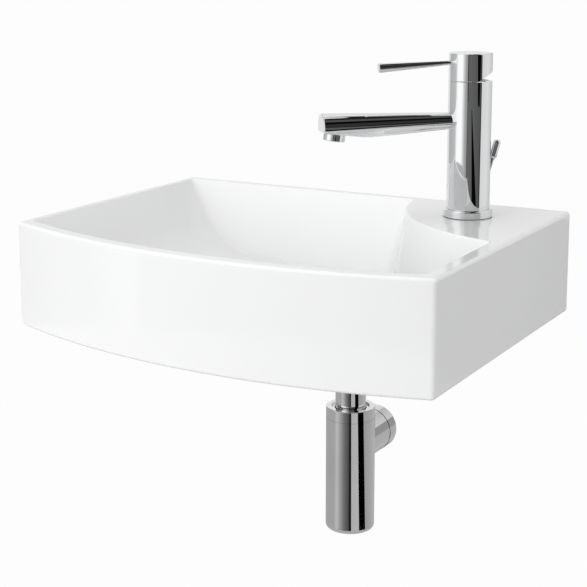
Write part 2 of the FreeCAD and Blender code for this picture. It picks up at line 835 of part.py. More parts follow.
def make_tap_body():
    body = upright(tap_body_radius, body_bottom, tap_body_top)
    body = rounded(body, parting_edge_round,
                   lambda edge: is_level_circle(edge, tap_body_top, tap_body_radius))
    body = body.cut(upright(tap_foot_recess_radius, body_bottom - overcut, tap_foot_recess_top))
    body = body.cut(upright(chamber_radius, chamber_floor, tap_body_top + overcut))
    body = body.cut(upright(nut_bore_radius, nut_bore_bottom, tap_body_top + overcut))
    foot = tap_foot_recess_top
    thread_top = foot + inlet_thread_length
    waterway_top = chamber_floor + overcut
    for side in inlet_sides:
        body = body.cut(upright(inlet_thread_radius, foot - overcut, thread_top, -inlet_back, side))
        body = body.cut(upright(waterway_radius, foot, waterway_top, -inlet_back, side))
    body = body.cut(upright(waterway_radius, spout_root_height, waterway_top, outlet_forward, 0))
    hole_start = spout_tenon_start - end_gap
    hole_radius = spout_tenon_radius + thread_gap
    body = body.cut(along_x(hole_radius, hole_start, tap_body_radius + overcut, 0, spout_root_height))
    rod_way_start = rod_exit - rod_up * rod_exit_height
    rod_way_end = rod_exit + rod_up * knob_length
    body = body.cut(rod_solid(rod_way_start, rod_way_end, rod_radius + slide_gap))
    stud_hole_top = foot + stud_grip + end_gap
    return body.cut(upright(stud_radius + thread_gap, foot - overcut, stud_hole_top, stud_forward, 0))


def make_spout():
    inside = tap_body_radius / 4
    root = spout_root - spout_axis * inside
    length = (spout_reach - tap_body_radius) / spout_axis.x + inside
    root_radius = spout_root_radius - inside * cone_slope
    cone = Part.makeCone(root_radius, spout_tip_radius, length, root, spout_axis)
    cone = rounded(cone, spout_tip_round, lambda edge: is_round(edge, spout_tip_radius))
    cone = cone.cut(upright(tap_body_radius + thread_gap / 2, 0, tap_body_top))
    below = block(0, 2 * spout_reach, -spout_reach, spout_reach, -spout_reach, 0)
    below.rotate(V(0, 0, 0), V(0, 1, 0), -flat_rise)
    below.translate(flat_point)
    cone = cone.cut(below)
    tenon = along_x(spout_tenon_radius, spout_tenon_start, tap_body_radius + overcut, 0, spout_root_height)
    spout = cone.fuse(tenon)
    bore_end = spout_root + spout_axis * (spout_reach - tap_body_radius - spout_tip_wall)
    bore_start = spout_root - spout_axis * tap_body_radius
    spout = spout.cut(rod_solid(bore_start, bore_end, spout_bore_radius))
    port_top = aerator_seat - aerator_down * (aerator_thread_height + aerator_washer_thickness)
    return spout.cut(rod_solid(aerator_seat + aerator_down, port_top, aerator_thread_radius + thread_gap))


def is_round(edge, radius):
    return type(edge.Curve).__name__ == "Circle" and abs(edge.Curve.Radius - radius) < 0.01


def on_aerator(shape):
    """Moves a shape built with its mouth down along -Z onto the flat under the spout."""
    shape.rotate(V(0, 0, 0), V(0, 1, 0), -flat_rise)
    shape.translate(aerator_seat)
    return shape


def make_aerator_housing():
    cup = upright(aerator_radius, -aerator_height, 0)
    cup = rounded(cup, aerator_edge_round,
                  lambda edge: is_level_circle(edge, -aerator_height, aerator_radius))
    thread = upright(aerator_thread_radius, -aerator_edge_round, aerator_thread_height)
    cup = cup.fuse(thread)
    bore = upright(aerator_bore_radius, -aerator_height - overcut, aerator_thread_height + overcut)
    return on_aerator(cup.cut(bore))


def make_aerator_insert():
    bottom = -aerator_height + aerator_insert_recess
    disc = upright(aerator_bore_radius - thread_gap, bottom, bottom + aerator_insert_depth)
    cells = int(aerator_bore_radius / aerator_hole_pitch)
    holes = []
    for row in range(-cells, cells + 1):
        for column in range(-cells, cells + 1):
            x = (column + row % 2 / 2) * aerator_hole_pitch
            y = row * aerator_hole_pitch * math.sin(rad(60))
            if math.hypot(x, y) < aerator_bore_radius - 2 * aerator_hole_radius:
                top = bottom + aerator_insert_depth + overcut
                holes.append(upright(aerator_hole_radius, bottom - overcut, top, x, y))
    return on_aerator(disc.cut(Part.makeCompound(holes)))


def make_aerator_washer():
    top = aerator_thread_height + aerator_washer_thickness
    outer = aerator_thread_radius - thread_gap
    return on_aerator(ring(outer, aerator_washer_bore, aerator_thread_height, top))


# ---------------------------------------------------------------- cartridge, in the tap's frame
def make_cartridge_seals():
    top = chamber_floor + cartridge_seal_thickness
    places = [(-inlet_back, side) for side in inlet_sides] + [(outlet_forward, 0.0)]
    return Part.makeCompound([ring(cartridge_seal_radius, waterway_radius, chamber_floor, top, x, y)
                              for x, y in places])


def with_ports(shape, bottom, top):
    radius = waterway_radius - port_narrowing
    for side in inlet_sides:
        shape = shape.cut(upright(radius, bottom - overcut, top + overcut, -inlet_back, side))
    return shape.cut(upright(radius, bottom - overcut, top + overcut, outlet_forward, 0))


def make_cartridge_base():
    bottom = chamber_floor + cartridge_seal_thickness
    return with_ports(upright(cartridge_radius, bottom, disc_floor), bottom, disc_floor)


def make_fixed_disc():
    top = disc_floor + disc_thickness
    return with_ports(upright(fixed_disc_radius, disc_floor, top), disc_floor, top)


def make_moving_disc():
    bottom = disc_floor + disc_thickness + face_gap
    disc = upright(moving_disc_radius, bottom, bottom + disc_thickness)
    return disc.cut(upright(mixing_pocket_radius, bottom - overcut, bottom + mixing_pocket_depth))


def make_disc_driver():
    bottom = disc_floor + 2 * disc_thickness + face_gap
    top = bottom + disc_driver_height
    driver = upright(disc_driver_radius, bottom, top)
    return driver.cut(upright(spindle_ball_radius + slide_gap, top - driver_pocket_depth, top + overcut))


def make_cartridge_housing():
    inner = cartridge_radius - cartridge_wall
    housing = upright(cartridge_radius, disc_floor, nut_bore_bottom)
    housing = housing.fuse(upright(cartridge_neck_radius, nut_bore_bottom - overcut, cartridge_neck_top))
    housing = housing.cut(upright(inner, disc_floor - overcut, nut_bore_bottom - cartridge_roof))
    neck = upright(cartridge_neck_bore, disc_floor - overcut, cartridge_neck_top + overcut)
    return housing.cut(neck).removeSplitter()


def make_cartridge_nut():
    top = tap_body_top - end_gap
    nut = ring(nut_bore_radius - thread_gap, cartridge_nut_bore, nut_bore_bottom, top)
    for turn in range(4):
        notch = block(0, nut_bore_radius + overcut, -cartridge_nut_notch / 2, cartridge_nut_notch / 2,
                      top - cartridge_nut_notch, top + overcut)
        notch.rotate(V(0, 0, 0), V(0, 0, 1), 45 + 90 * turn)
        nut = nut.cut(notch)
    return nut


def make_lever_carrier():
    top = cartridge_neck_top + carrier_stand_out
    bottom = top - carrier_height
    slot_side = spindle_block_width / 2 + slide_gap
    slot_back = -spindle_block_length / 2 - slide_gap
    body = upright(cartridge_neck_bore - running_gap, bottom, top)
    ears_top = lever_pin.z + carrier_ear_rise
    half_ear = carrier_ear_length / 2
    ears = block(-half_ear, half_ear, -carrier_ear_out, carrier_ear_out, top - overcut, ears_top)
    body = body.fuse(ears)
    slot_bottom, slot_top = bottom - overcut, ears_top + overcut
    body = body.cut(block(slot_back, carrier_slot_front, -slot_side, slot_side, slot_bottom, slot_top))
    return body.cut(pin_hole()).removeSplitter()


def pin_hole():
    out = V(0, carrier_ear_out + overcut, 0)
    return rod_solid(lever_pin - out, lever_pin + out, carrier_pin_radius + running_gap)


def make_carrier_pin():
    out = V(0, carrier_ear_out, 0)
    return rod_solid(lever_pin - out, lever_pin + out, carrier_pin_radius)


def make_lever_spindle():
    ball_height = lever_pin.z - spindle_ball_drop
    block_top = lever_pin.z + spindle_block_above
    block_bottom = lever_pin.z - spindle_block_below
    along, across, square = spindle_block_length / 2, spindle_block_width / 2, spindle_square / 2
    spindle = Part.makeSphere(spindle_ball_radius, V(0, 0, ball_height))
    spindle = spindle.fuse(upright(spindle_shaft_radius, ball_height, block_bottom + overcut))
    spindle = spindle.fuse(block(-along, along, -across, across, block_bottom, block_top))
    top = cap_bottom + cap_cavity_height + cap_socket_depth - end_gap
    spindle = spindle.fuse(block(-square, square, -square, square, block_top, top))
    return spindle.cut(pin_hole()).removeSplitter()


def lever_axis():
    drop = lever_tip_drop / (lever_reach - tap_body_radius)
    return V(math.cos(math.atan(drop)), 0, -math.sin(math.atan(drop)))


lever_root = V(tap_body_radius, 0, lever_root_height)
grub_height = cap_bottom + cap_cavity_height + cap_socket_depth / 2


def make_lever_cap():
    top = cap_bottom + cap_height
    cap = upright(tap_body_radius, cap_bottom, top)
    cap = rounded(cap, cap_edge_round, lambda edge: is_level_circle(edge, top, tap_body_radius))
    cap = rounded(cap, parting_edge_round, lambda edge: is_level_circle(edge, cap_bottom, tap_body_radius))
    cap = cap.cut(upright(cap_cavity_radius, cap_bottom - overcut, cap_bottom + cap_cavity_height))
    half_socket = spindle_square / 2 + thread_gap
    socket_top = cap_bottom + cap_cavity_height + cap_socket_depth
    cap = cap.cut(block(-half_socket, half_socket, -half_socket, half_socket, cap_bottom, socket_top))
    width = 2 * tap_body_radius
    wedge = block(-width, 0, -width, width, -width, 0)
    wedge.rotate(V(0, 0, 0), V(0, 1, 0), lever_lift_range + lever_lift_spare)
    wedge.translate(lever_pin)
    cap = cap.cut(wedge)
    inwards = lever_root - lever_axis() * (lever_tenon_depth + end_gap)
    cap = cap.cut(rod_solid(inwards, lever_root + lever_axis(), lever_tenon_radius + thread_gap))
    screw_way = along_x(grub_screw_radius + thread_gap, -tap_body_radius - overcut, 0, 0, grub_height)
    cap = cap.cut(screw_way)
    return cap


def make_lever_handle():
    axis = lever_axis()
    length = (lever_reach - tap_body_radius) / axis.x
    cone = Part.makeCone(lever_root_radius, lever_tip_radius, length, lever_root, axis)
    cone = rounded(cone, lever_tip_round, lambda edge: is_round(edge, lever_tip_radius))
    tenon_start = lever_root - axis * lever_tenon_depth
    tenon_end = lever_root + axis * tenon_into_lever
    return cone.fuse(rod_solid(tenon_start, tenon_end, lever_tenon_radius))


def make_grub_screw():
    tip = -spindle_square / 2
    start = tip - grub_screw_length
    screw = along_x(grub_screw_radius, start, tip, 0, grub_height)
    return screw.cut(along_x(grub_socket_radius, start - overcut, start + grub_socket_depth, 0, grub_height))


def make_grub_cover():
    start = -tap_body_radius + grub_cover_recess
    return along_x(grub_screw_radius, start, start + grub_cover_length, 0, grub_height)


# ---------------------------------------------------------------- fixing under the deck, in the tap's frame
deck_underside = -deck_thickness
washer_bottom = deck_underside - deck_washer_thickness
plate_bottom = washer_bottom - horseshoe_thickness


def make_mounting_stud():
    return upright(stud_radius, -stud_end_drop, tap_foot_recess_top + stud_grip, stud_forward, 0)


def horseshoe(bottom, top):
    half = horseshoe_slot_width / 2
    plate = upright(deck_washer_radius, bottom, top)
    back = -deck_washer_radius - overcut
    plate = plate.cut(block(back, horseshoe_slot_front, -half, half, bottom - overcut, top + overcut))
    return plate.cut(upright(stud_radius + slide_gap, bottom - overcut, top + overcut, stud_forward, 0))


def make_deck_washer():
    return horseshoe(washer_bottom, deck_underside)


def make_horseshoe_plate():
    return horseshoe(plate_bottom, washer_bottom)


def make_stud_nut():
    nut = hexagon(stud_nut_radius, plate_bottom - stud_nut_height, plate_bottom)
    nut.translate(V(stud_forward, 0, 0))
    return nut.cut(upright(stud_radius + thread_gap, -stud_end_drop, 0, stud_forward, 0))


# ---------------------------------------------------------------- bottle trap, in a frame on the waste's axis
# Its local +X points at the wall.
trap_nut_top = waste_bottom + waste_thread_length
tube_top = waste_bottom - trap_washer_thickness
tube_bore = tube_radius - tube_wall
cap_top = -trap_top_drop
cap_seam = cap_top - trap_cap_height
neck_top = cap_seam + trap_neck_height
trap_bottom = cap_top - trap_length
outlet_height = cap_top - outlet_below_top
tube_bottom = trap_bottom + tube_bottom_gap


def make_trap_inlet_nut():
    bottom = tube_top - tube_collar_thickness - trap_nut_lip
    corner = trap_nut_flat_radius / math.cos(rad(30))
    nut = hexagon(corner, bottom, trap_nut_top)
    nut = nut.common(upright((corner + trap_nut_flat_radius) / 2, bottom, trap_nut_top))
    nut = nut.cut(upright(waste_tube_radius + thread_gap, bottom + trap_nut_lip, trap_nut_top + overcut))
    return nut.cut(upright(tube_radius + thread_gap, bottom - overcut, trap_nut_top + overcut))


def make_trap_inlet_washer():
    return ring(tube_collar_radius, tube_bore, tube_top, waste_bottom)


def make_trap_inlet_tube():
    collar = upright(tube_collar_radius, tube_top - tube_collar_thickness, tube_top)
    tube = collar.fuse(upright(tube_radius, tube_bottom, tube_top))
    return tube.cut(upright(tube_bore, tube_bottom - overcut, tube_top + overcut)).removeSplitter()


def make_trap_top_cap():
    cap = upright(trap_radius, cap_seam + trap_seam, cap_top)
    cap = rounded(cap, trap_cap_round, lambda edge: is_level_circle(edge, cap_top, trap_radius))
    cap = cap.cut(upright(trap_neck_radius + thread_gap, cap_seam - overcut, cap_top - trap_cap_plate))
    cap = cap.cut(upright(trap_cap_recess_radius, cap_top - trap_cap_recess_depth, cap_top + overcut))
    return cap.cut(upright(trap_cap_hole, cap_seam, cap_top + overcut))


def make_trap_tube_seal():
    return ring(trap_seal_radius, tube_radius + thread_gap, neck_top, cap_top - trap_cap_plate)


def make_trap_body():
    shell = upright(trap_radius, trap_bottom, cap_seam)
    shell = rounded(shell, trap_bottom_round, lambda edge: is_level_circle(edge, trap_bottom, trap_radius))
    shell = shell.fuse(upright(trap_neck_radius, cap_seam - overcut, neck_top))
    boss = along_x(outlet_boss_radius, 0, outlet_boss_reach, 0, outlet_height)
    neck = along_x(outlet_neck_radius, 0, outlet_boss_reach + outlet_neck_length, 0, outlet_height)
    shell = shell.fuse(boss).fuse(neck)
    inner = upright(trap_radius - trap_wall, trap_bottom + trap_wall, cap_seam - trap_wall)
    inner = rounded(inner, trap_bottom_round - trap_wall,
                    lambda edge: is_level_circle(edge, trap_bottom + trap_wall, trap_radius - trap_wall))
    shell = shell.cut(inner)
    shell = shell.cut(upright(trap_cap_hole, cap_seam - trap_wall - overcut, neck_top + overcut))
    outlet = along_x(outlet_bore, 0, outlet_boss_reach + outlet_neck_length + overcut, 0, outlet_height)
    return shell.cut(outlet).removeSplitter()


def make_trap_outlet_nut():
    start = outlet_boss_reach + outlet_seam
    end = start + outlet_nut_length
    nut = along_x(outlet_nut_radius, start, end, 0, outlet_height)
    nut = rounded(nut, outlet_nut_round, lambda edge: abs(middle(edge).x - end) < 0.01)
    thread_end = end - outlet_nut_wall
    nut = nut.cut(along_x(outlet_neck_radius + thread_gap, start - overcut, thread_end, 0, outlet_height))
    return nut.cut(along_x(outlet_bore, start - overcut, end + overcut, 0, outlet_height))


def make_trap_outlet_seal():
    start = outlet_boss_reach + outlet_neck_length
    end = outlet_boss_reach + outlet_seam + outlet_nut_length - outlet_nut_wall
    return ring_along_x(outlet_neck_radius - outlet_seal_inset, outlet_bore, start, end, outlet_height)


# ---------------------------------------------------------------- placing and writing
def placed(shape, place, degrees):
    """Turns a local shape about its upright axis and sets it at its place, with the rim at its height."""
    shape = shape.copy()
    shape.rotate(V(0, 0, 0), V(0, 0, 1), degrees)
    shape.translate(place + V(0, 0, wall_fixing_drop))
    return shape


def on_basin(shape):
    return placed(shape, V(0, 0, 0), 0)


def on_tap(shape):
    return placed(shape, tap_place, tap_turn)


def on_waste(shape):
    return placed(shape, drain_place, port_azimuth)


def on_trap(shape):
    return placed(shape, drain_place, 90)


pieces = {
    "basin": (on_basin, make_basin),
    "waste_flange": (on_waste, make_waste_flange),
    "waste_flange_gasket": (on_waste, make_waste_flange_gasket),
    "waste_body": (on_waste, make_waste_body),
    "waste_body_gasket": (on_waste, make_waste_body_gasket),
    "plug": (on_waste, make_plug),
    "plug_seal": (on_waste, make_plug_seal),
    "plug_stem": (on_waste, make_plug_stem),
    "pivot_rod": (on_waste, make_pivot_rod),
    "pivot_inner_seat": (on_waste, make_pivot_inner_seat),
    "pivot_outer_seat": (on_waste, make_pivot_outer_seat),
    "pivot_nut": (on_waste, make_pivot_nut),
    "lift_rod": (on_tap, make_lift_rod),
    "lift_knob": (on_tap, make_lift_knob),
    "rod_clamp": (on_tap, make_rod_clamp),
    "clamp_screw": (on_tap, make_clamp_screw),
    "tap_base_gasket": (on_tap, make_tap_base_gasket),
    "tap_base_ring": (on_tap, make_tap_base_ring),
    "tap_body": (on_tap, make_tap_body),
    "spout": (on_tap, make_spout),
    "aerator_housing": (on_tap, make_aerator_housing),
    "aerator_insert": (on_tap, make_aerator_insert),
    "aerator_washer": (on_tap, make_aerator_washer),
    "cartridge_seals": (on_tap, make_cartridge_seals),
    "cartridge_base": (on_tap, make_cartridge_base),
    "fixed_disc": (on_tap, make_fixed_disc),
    "moving_disc": (on_tap, make_moving_disc),
    "disc_driver": (on_tap, make_disc_driver),
    "cartridge_housing": (on_tap, make_cartridge_housing),
    "cartridge_nut": (on_tap, make_cartridge_nut),
    "lever_carrier": (on_tap, make_lever_carrier),
    "carrier_pin": (on_tap, make_carrier_pin),
    "lever_spindle": (on_tap, make_lever_spindle),
    "lever_cap": (on_tap, make_lever_cap),
    "lever_handle": (on_tap, make_lever_handle),
    "grub_screw": (on_tap, make_grub_screw),
    "grub_cover": (on_tap, make_grub_cover),
    "mounting_stud": (on_tap, make_mounting_stud),
    "deck_washer": (on_tap, make_deck_washer),
    "horseshoe_plate": (on_tap, make_horseshoe_plate),
    "stud_nut": (on_tap, make_stud_nut),
    "trap_inlet_nut": (on_trap, make_trap_inlet_nut),
    "trap_inlet_washer": (on_trap, make_trap_inlet_washer),
    "trap_inlet_tube": (on_trap, make_trap_inlet_tube),
    "trap_top_cap": (on_trap, make_trap_top_cap),
    "trap_tube_seal": (on_trap, make_trap_tube_seal),
    "trap_body": (on_trap, make_trap_body),
    "trap_outlet_nut": (on_trap, make_trap_outlet_nut),
    "trap_outlet_seal": (on_trap, make_trap_outlet_seal),
}

os.makedirs("parts", exist_ok=True)
for name, (place_it, make_it) in pieces.items():
    solid = place_it(make_it())
    solid.exportStep("parts/" + name + ".step")
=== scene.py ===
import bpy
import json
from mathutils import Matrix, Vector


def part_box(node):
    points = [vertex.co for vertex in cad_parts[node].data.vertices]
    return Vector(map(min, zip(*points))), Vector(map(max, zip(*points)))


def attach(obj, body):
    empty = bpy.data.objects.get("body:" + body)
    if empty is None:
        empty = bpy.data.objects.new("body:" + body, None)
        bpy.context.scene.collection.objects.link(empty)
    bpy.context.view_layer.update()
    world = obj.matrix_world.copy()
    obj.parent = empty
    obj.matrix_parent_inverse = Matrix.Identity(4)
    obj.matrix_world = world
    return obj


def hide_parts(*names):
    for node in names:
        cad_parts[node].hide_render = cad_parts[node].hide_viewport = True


bl_info = {
    "name": "Wall hung basin",
    "version": (1, 0, 0),
    "blender": (4, 5, 0),
    "location": "3D View > Sidebar > Basin",
    "description": "Finishes a wall hung basin with its tap, pop-up waste and bottle trap, and lights it",
    "category": "Object",
}

import json
import math

import bmesh
import bpy
from mathutils import Matrix, Vector

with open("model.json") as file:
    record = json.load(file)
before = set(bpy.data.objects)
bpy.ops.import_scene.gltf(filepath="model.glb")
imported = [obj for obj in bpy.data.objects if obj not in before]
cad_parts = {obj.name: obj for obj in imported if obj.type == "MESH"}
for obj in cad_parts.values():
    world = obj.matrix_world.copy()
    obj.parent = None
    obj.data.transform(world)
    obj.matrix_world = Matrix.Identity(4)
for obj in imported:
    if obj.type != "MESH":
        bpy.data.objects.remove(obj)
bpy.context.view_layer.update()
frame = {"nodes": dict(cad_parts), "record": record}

MM = 0.001
SPOUT_TURN = math.radians(221.0)        # from straight right, seen from above


def frame_at(place, turn=0.0):
    return Matrix.Translation(place) @ Matrix.Rotation(turn, 4, "Z")


def middle_of(node):
    low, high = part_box(node)
    return (Vector(low) + Vector(high)) / 2


# ---------------------------------------------------------------- settings in the sidebar
def colour(name, value, description):
    return bpy.props.FloatVectorProperty(
        name=name, description=description, subtype="COLOR", size=3, min=0.0, max=1.0, default=value)


def fraction(name, value, description):
    return bpy.props.FloatProperty(
        name=name, description=description, subtype="FACTOR", min=0.0, max=1.0, default=value)


def length(name, value, description):
    return bpy.props.FloatProperty(
        name=name, description=description, subtype="DISTANCE", unit="LENGTH", min=0.0, default=value)


def angle(name, value, description):
    return bpy.props.FloatProperty(
        name=name, description=description, subtype="ANGLE", unit="ROTATION", default=math.radians(value))


def power(name, value, description):
    return bpy.props.FloatProperty(name=name, description=description, unit="POWER", min=0.0, default=value)


class BasinFinishes(bpy.types.PropertyGroup):
    glaze: colour("Glaze", (0.85, 0.853, 0.855), "White of the glazed ceramic")
    glaze_gloss: fraction("Glaze roughness", 0.06, "Roughness of the glaze")
    clay: colour("Bare clay", (0.74, 0.71, 0.66), "Unglazed ceramic on the back")
    chrome: colour("Chrome", (0.80, 0.805, 0.812), "Polished plating of the tap")
    chrome_gloss: fraction("Chrome roughness", 0.016, "Roughness of the polished plating")
    satin: colour("Satin chrome", (0.78, 0.777, 0.777), "Plating of the trap")
    satin_gloss: fraction("Satin roughness", 0.045, "Roughness of the trap's plating")
    brass: colour("Brass", (0.80, 0.62, 0.30), "Bare brass of nuts and studs")
    rubber: colour("Rubber", (0.025, 0.025, 0.027), "Seals and washers")


class BasinStudio(bpy.types.PropertyGroup):
    lens: bpy.props.FloatProperty(
        name="Lens", description="Focal length on a 36 mm wide sensor", unit="CAMERA", default=88.97)
    yaw: angle("Camera yaw", 28.949, "How far the camera is turned from straight at the wall")
    pitch: angle("Camera pitch", 10.350, "How far the camera looks down")
    picture_shift: bpy.props.FloatProperty(
        name="Vertical shift", description="Shift of the picture, as a part of its width", default=-0.15)
    key_power: power("Key lamp", 56.0, "Power of the large soft lamp in front")
    top_power: power("Top lamp", 18.0, "Power of the soft lamp overhead")
    side_power: power("Side lamp", 4.4, "Power of the low lamp at the right")
    ambient: fraction("Room light", 0.52, "Even light from all sides")
    floor_drop: length("Floor drop", 0.79, "How far the floor lies under the wall fixing holes")


class BasinDetails(bpy.types.PropertyGroup):
    aerator_lean: angle("Aerator lean", 7.0, "How far the aerator leans out, as the cut under the spout rises")
    comb_radius: length("Comb radius", 8.5 * MM, "Outer radius of the aerator's honeycomb")
    comb_depth: length("Comb depth", 8.5 * MM, "Depth of the honeycomb")
    comb_pitch: length("Comb pitch", 1.6 * MM, "From cell to cell of the honeycomb")
    comb_wall: length("Comb wall", 0.28 * MM, "Wall of one cell")
    comb_rim: length("Comb rim", 0.9 * MM, "Width of the rim round the honeycomb")
    stud_pitch: length("Stud pitch", 1.25 * MM, "Thread pitch of the mounting stud")
    stud_depth: length("Stud thread depth", 0.62 * MM, "Depth of the stud's thread")
    grip_ribs: bpy.props.IntProperty(name="Grip ribs", description="Ribs round the pivot nut", default=24)
    grip_radius: length("Grip radius", 12.8 * MM, "From the nut's axis to the middle of a rib")
    grip_thickness: length("Grip thickness", 0.7 * MM, "Radius of one rib")
    grip_length: length("Grip length", 10.0 * MM, "Length of one rib")


# ---------------------------------------------------------------- finishes
class Wiring:
    """A node tree while it is being wired."""

    def add(self, kind, inputs=None, **settings):
        """Adds a node, with a value or another node's output for each input that is named."""
        node = self.tree.nodes.new(kind)
        for setting, value in settings.items():
            setattr(node, setting, value)
        for socket, value in (inputs or {}).items():
            self.feed(node.inputs[socket], value)
        return node

    def feed(self, socket, value):
        if isinstance(value, bpy.types.NodeSocket):
            self.tree.links.new(value, socket)
        else:
            socket.default_value = value

    def maths(self, operation, *values):
        """The result of one step of arithmetic on values or sockets."""
        return self.add("ShaderNodeMath", dict(enumerate(values)), operation=operation).outputs[0]


class Finish(Wiring):
    """A material of nodes round one shader."""

    def __init__(self, name, **fixed):
        self.material = bpy.data.materials.new(name)
        self.material.use_nodes = True
        self.tree = self.material.node_tree
        self.tree.nodes.clear()
        output = self.tree.nodes.new("ShaderNodeOutputMaterial")
        self.shader = self.tree.nodes.new("ShaderNodeBsdfPrincipled")
        self.tree.links.new(self.shader.outputs["BSDF"], output.inputs["Surface"])
        self.object_place = self.tree.nodes.new("ShaderNodeTexCoord").outputs["Object"]
        for socket, value in fixed.items():
            self.shader.inputs[socket.replace("_", " ")].default_value = value

    def noise(self, scale, detail=2.0, stretch=None):
        """Cloudy noise on the object's own coordinates, stretched where three scales are given."""
        place = self.object_place
        if stretch:
            place = self.add("ShaderNodeMapping", {"Vector": place, "Scale": stretch}).outputs["Vector"]
        inputs = {"Vector": place, "Scale": scale, "Detail": detail}
        return self.add("ShaderNodeTexNoise", inputs).outputs["Fac"]

    def between(self, factor, low, high, start=0.3, end=0.7):
        """Runs from low to high while the factor runs from start to end."""
        inputs = {"Value": factor, "From Min": start, "From Max": end, "To Min": low, "To Max": high}
        return self.add("ShaderNodeMapRange", inputs).outputs["Result"]

    def mixed(self, factor, first, second):
        node = self.add("ShaderNodeMix", data_type="RGBA")
        self.feed(node.inputs[0], factor)
        self.feed(node.inputs[6], first if isinstance(first, bpy.types.NodeSocket) else (*first, 1.0))
        self.feed(node.inputs[7], second if isinstance(second, bpy.types.NodeSocket) else (*second, 1.0))
        return node.outputs[2]

    def tint(self, base, spread, scale, stretch=None, detail=2.0):
        """Base colour that drifts a little from place to place."""
        darker = [c * (1 - spread) for c in base]
        lighter = [min(1.0, c * (1 + spread)) for c in base]
        drift = self.between(self.noise(scale, detail, stretch), 0.0, 1.0)
        return self.mixed(drift, darker, lighter)

    def colour(self, socket):
        self.feed(self.shader.inputs["Base Color"], socket)

    def roughness(self, socket):
        self.feed(self.shader.inputs["Roughness"], socket)

    def bump(self, height, strength, depth):
        inputs = {"Height": height, "Strength": strength, "Distance": depth}
        self.feed(self.shader.inputs["Normal"], self.add("ShaderNodeBump", inputs).outputs["Normal"])


GLAZE_ENDS, CLAY_BEGINS = -0.6, -0.2    # mm from the wall face
STEEL = (0.60, 0.60, 0.61)
DULL_PLATING = (0.78, 0.78, 0.77)
WHITE_PLASTIC = (0.84, 0.84, 0.81)
GREY_PLASTIC = (0.50, 0.51, 0.53)
CERAMIC_DISC = (0.86, 0.85, 0.80)


def glazed_ceramic(look):
    """White glaze, bare clay on the face against the wall."""
    finish = Finish("glazed_white", IOR=1.52)
    depth = finish.add("ShaderNodeSeparateXYZ", {"Vector": finish.object_place}).outputs["Y"]
    bare = finish.between(depth, 0.0, 1.0, GLAZE_ENDS * MM, CLAY_BEGINS * MM)
    glaze = finish.tint(look.glaze, 0.004, 7.0)
    clay = finish.tint(look.clay, 0.05, 60.0, detail=6.0)
    finish.colour(finish.mixed(bare, glaze, clay))
    gloss = finish.between(finish.noise(18.0), look.glaze_gloss * 0.8, look.glaze_gloss * 1.3)
    finish.roughness(finish.between(bare, gloss, 0.6, 0.0, 1.0))
    finish.bump(finish.noise(45.0, 1.0), 0.06, 0.05 * MM)
    return finish.material


def polished_plate(look):
    """Mirror chrome with a breath of haze."""
    finish = Finish("polished_chrome", Metallic=1.0)
    finish.colour(finish.tint(look.chrome, 0.012, 30.0))
    finish.roughness(finish.between(finish.noise(90.0, 4.0), look.chrome_gloss * 0.7, look.chrome_gloss * 1.6))
    return finish.material


def satin_plate(look):
    """The trap's plating, softer, with fine streaks along the tube."""
    finish = Finish("satin_chrome", Metallic=1.0)
    streaks = finish.noise(1.0, 3.0, (900.0, 900.0, 18.0))
    finish.colour(finish.tint(look.satin, 0.02, 25.0))
    finish.roughness(finish.between(streaks, look.satin_gloss * 0.75, look.satin_gloss * 1.3))
    finish.bump(streaks, 0.03, 0.02 * MM)
    return finish.material


def turned_steel():
    """Turned steel with fine grain round the rods."""
    finish = Finish("brushed_steel", Metallic=1.0)
    finish.colour(finish.tint(STEEL, 0.04, 60.0))
    grain = finish.noise(1.0, 4.0, (1400.0, 1400.0, 260.0))
    finish.roughness(finish.between(grain, 0.22, 0.42))
    finish.bump(grain, 0.05, 0.03 * MM)
    return finish.material


def bare_brass(look):
    """Machined brass, unevenly dulled."""
    finish = Finish("brass", Metallic=1.0)
    finish.colour(finish.tint(look.brass, 0.08, 80.0, detail=5.0))
    finish.roughness(finish.between(finish.noise(220.0, 4.0), 0.22, 0.45))
    return finish.material


def plated_nut():
    """Thin dull plating over the brass of the nut that shows in the cap's notch."""
    finish = Finish("plated_brass", Metallic=1.0)
    finish.colour(finish.tint(DULL_PLATING, 0.04, 90.0, detail=4.0))
    finish.roughness(finish.between(finish.noise(200.0, 3.0), 0.12, 0.24))
    return finish.material


def moulded_rubber(look):
    """Matt black rubber with a moulded grain."""
    finish = Finish("black_rubber")
    finish.colour(finish.tint(look.rubber, 0.3, 120.0))
    finish.roughness(finish.between(finish.noise(350.0, 3.0), 0.55, 0.8))
    finish.bump(finish.noise(900.0, 2.0), 0.15, 0.05 * MM)
    return finish.material


def moulded_plastic(name, base, roughness):
    """Plastic with the fine grain of its mould."""
    finish = Finish(name)
    finish.colour(finish.tint(base, 0.02, 90.0))
    finish.roughness(finish.between(finish.noise(500.0, 3.0), roughness * 0.85, roughness * 1.2))
    finish.bump(finish.noise(1200.0, 2.0), 0.05, 0.02 * MM)
    return finish.material


def lapped_ceramic():
    """The cartridge's ground and lapped discs."""
    finish = Finish("technical_ceramic")
    finish.colour(finish.tint(CERAMIC_DISC, 0.02, 150.0))
    finish.roughness(finish.between(finish.noise(400.0, 3.0), 0.12, 0.25))
    return finish.material


finishes = {}


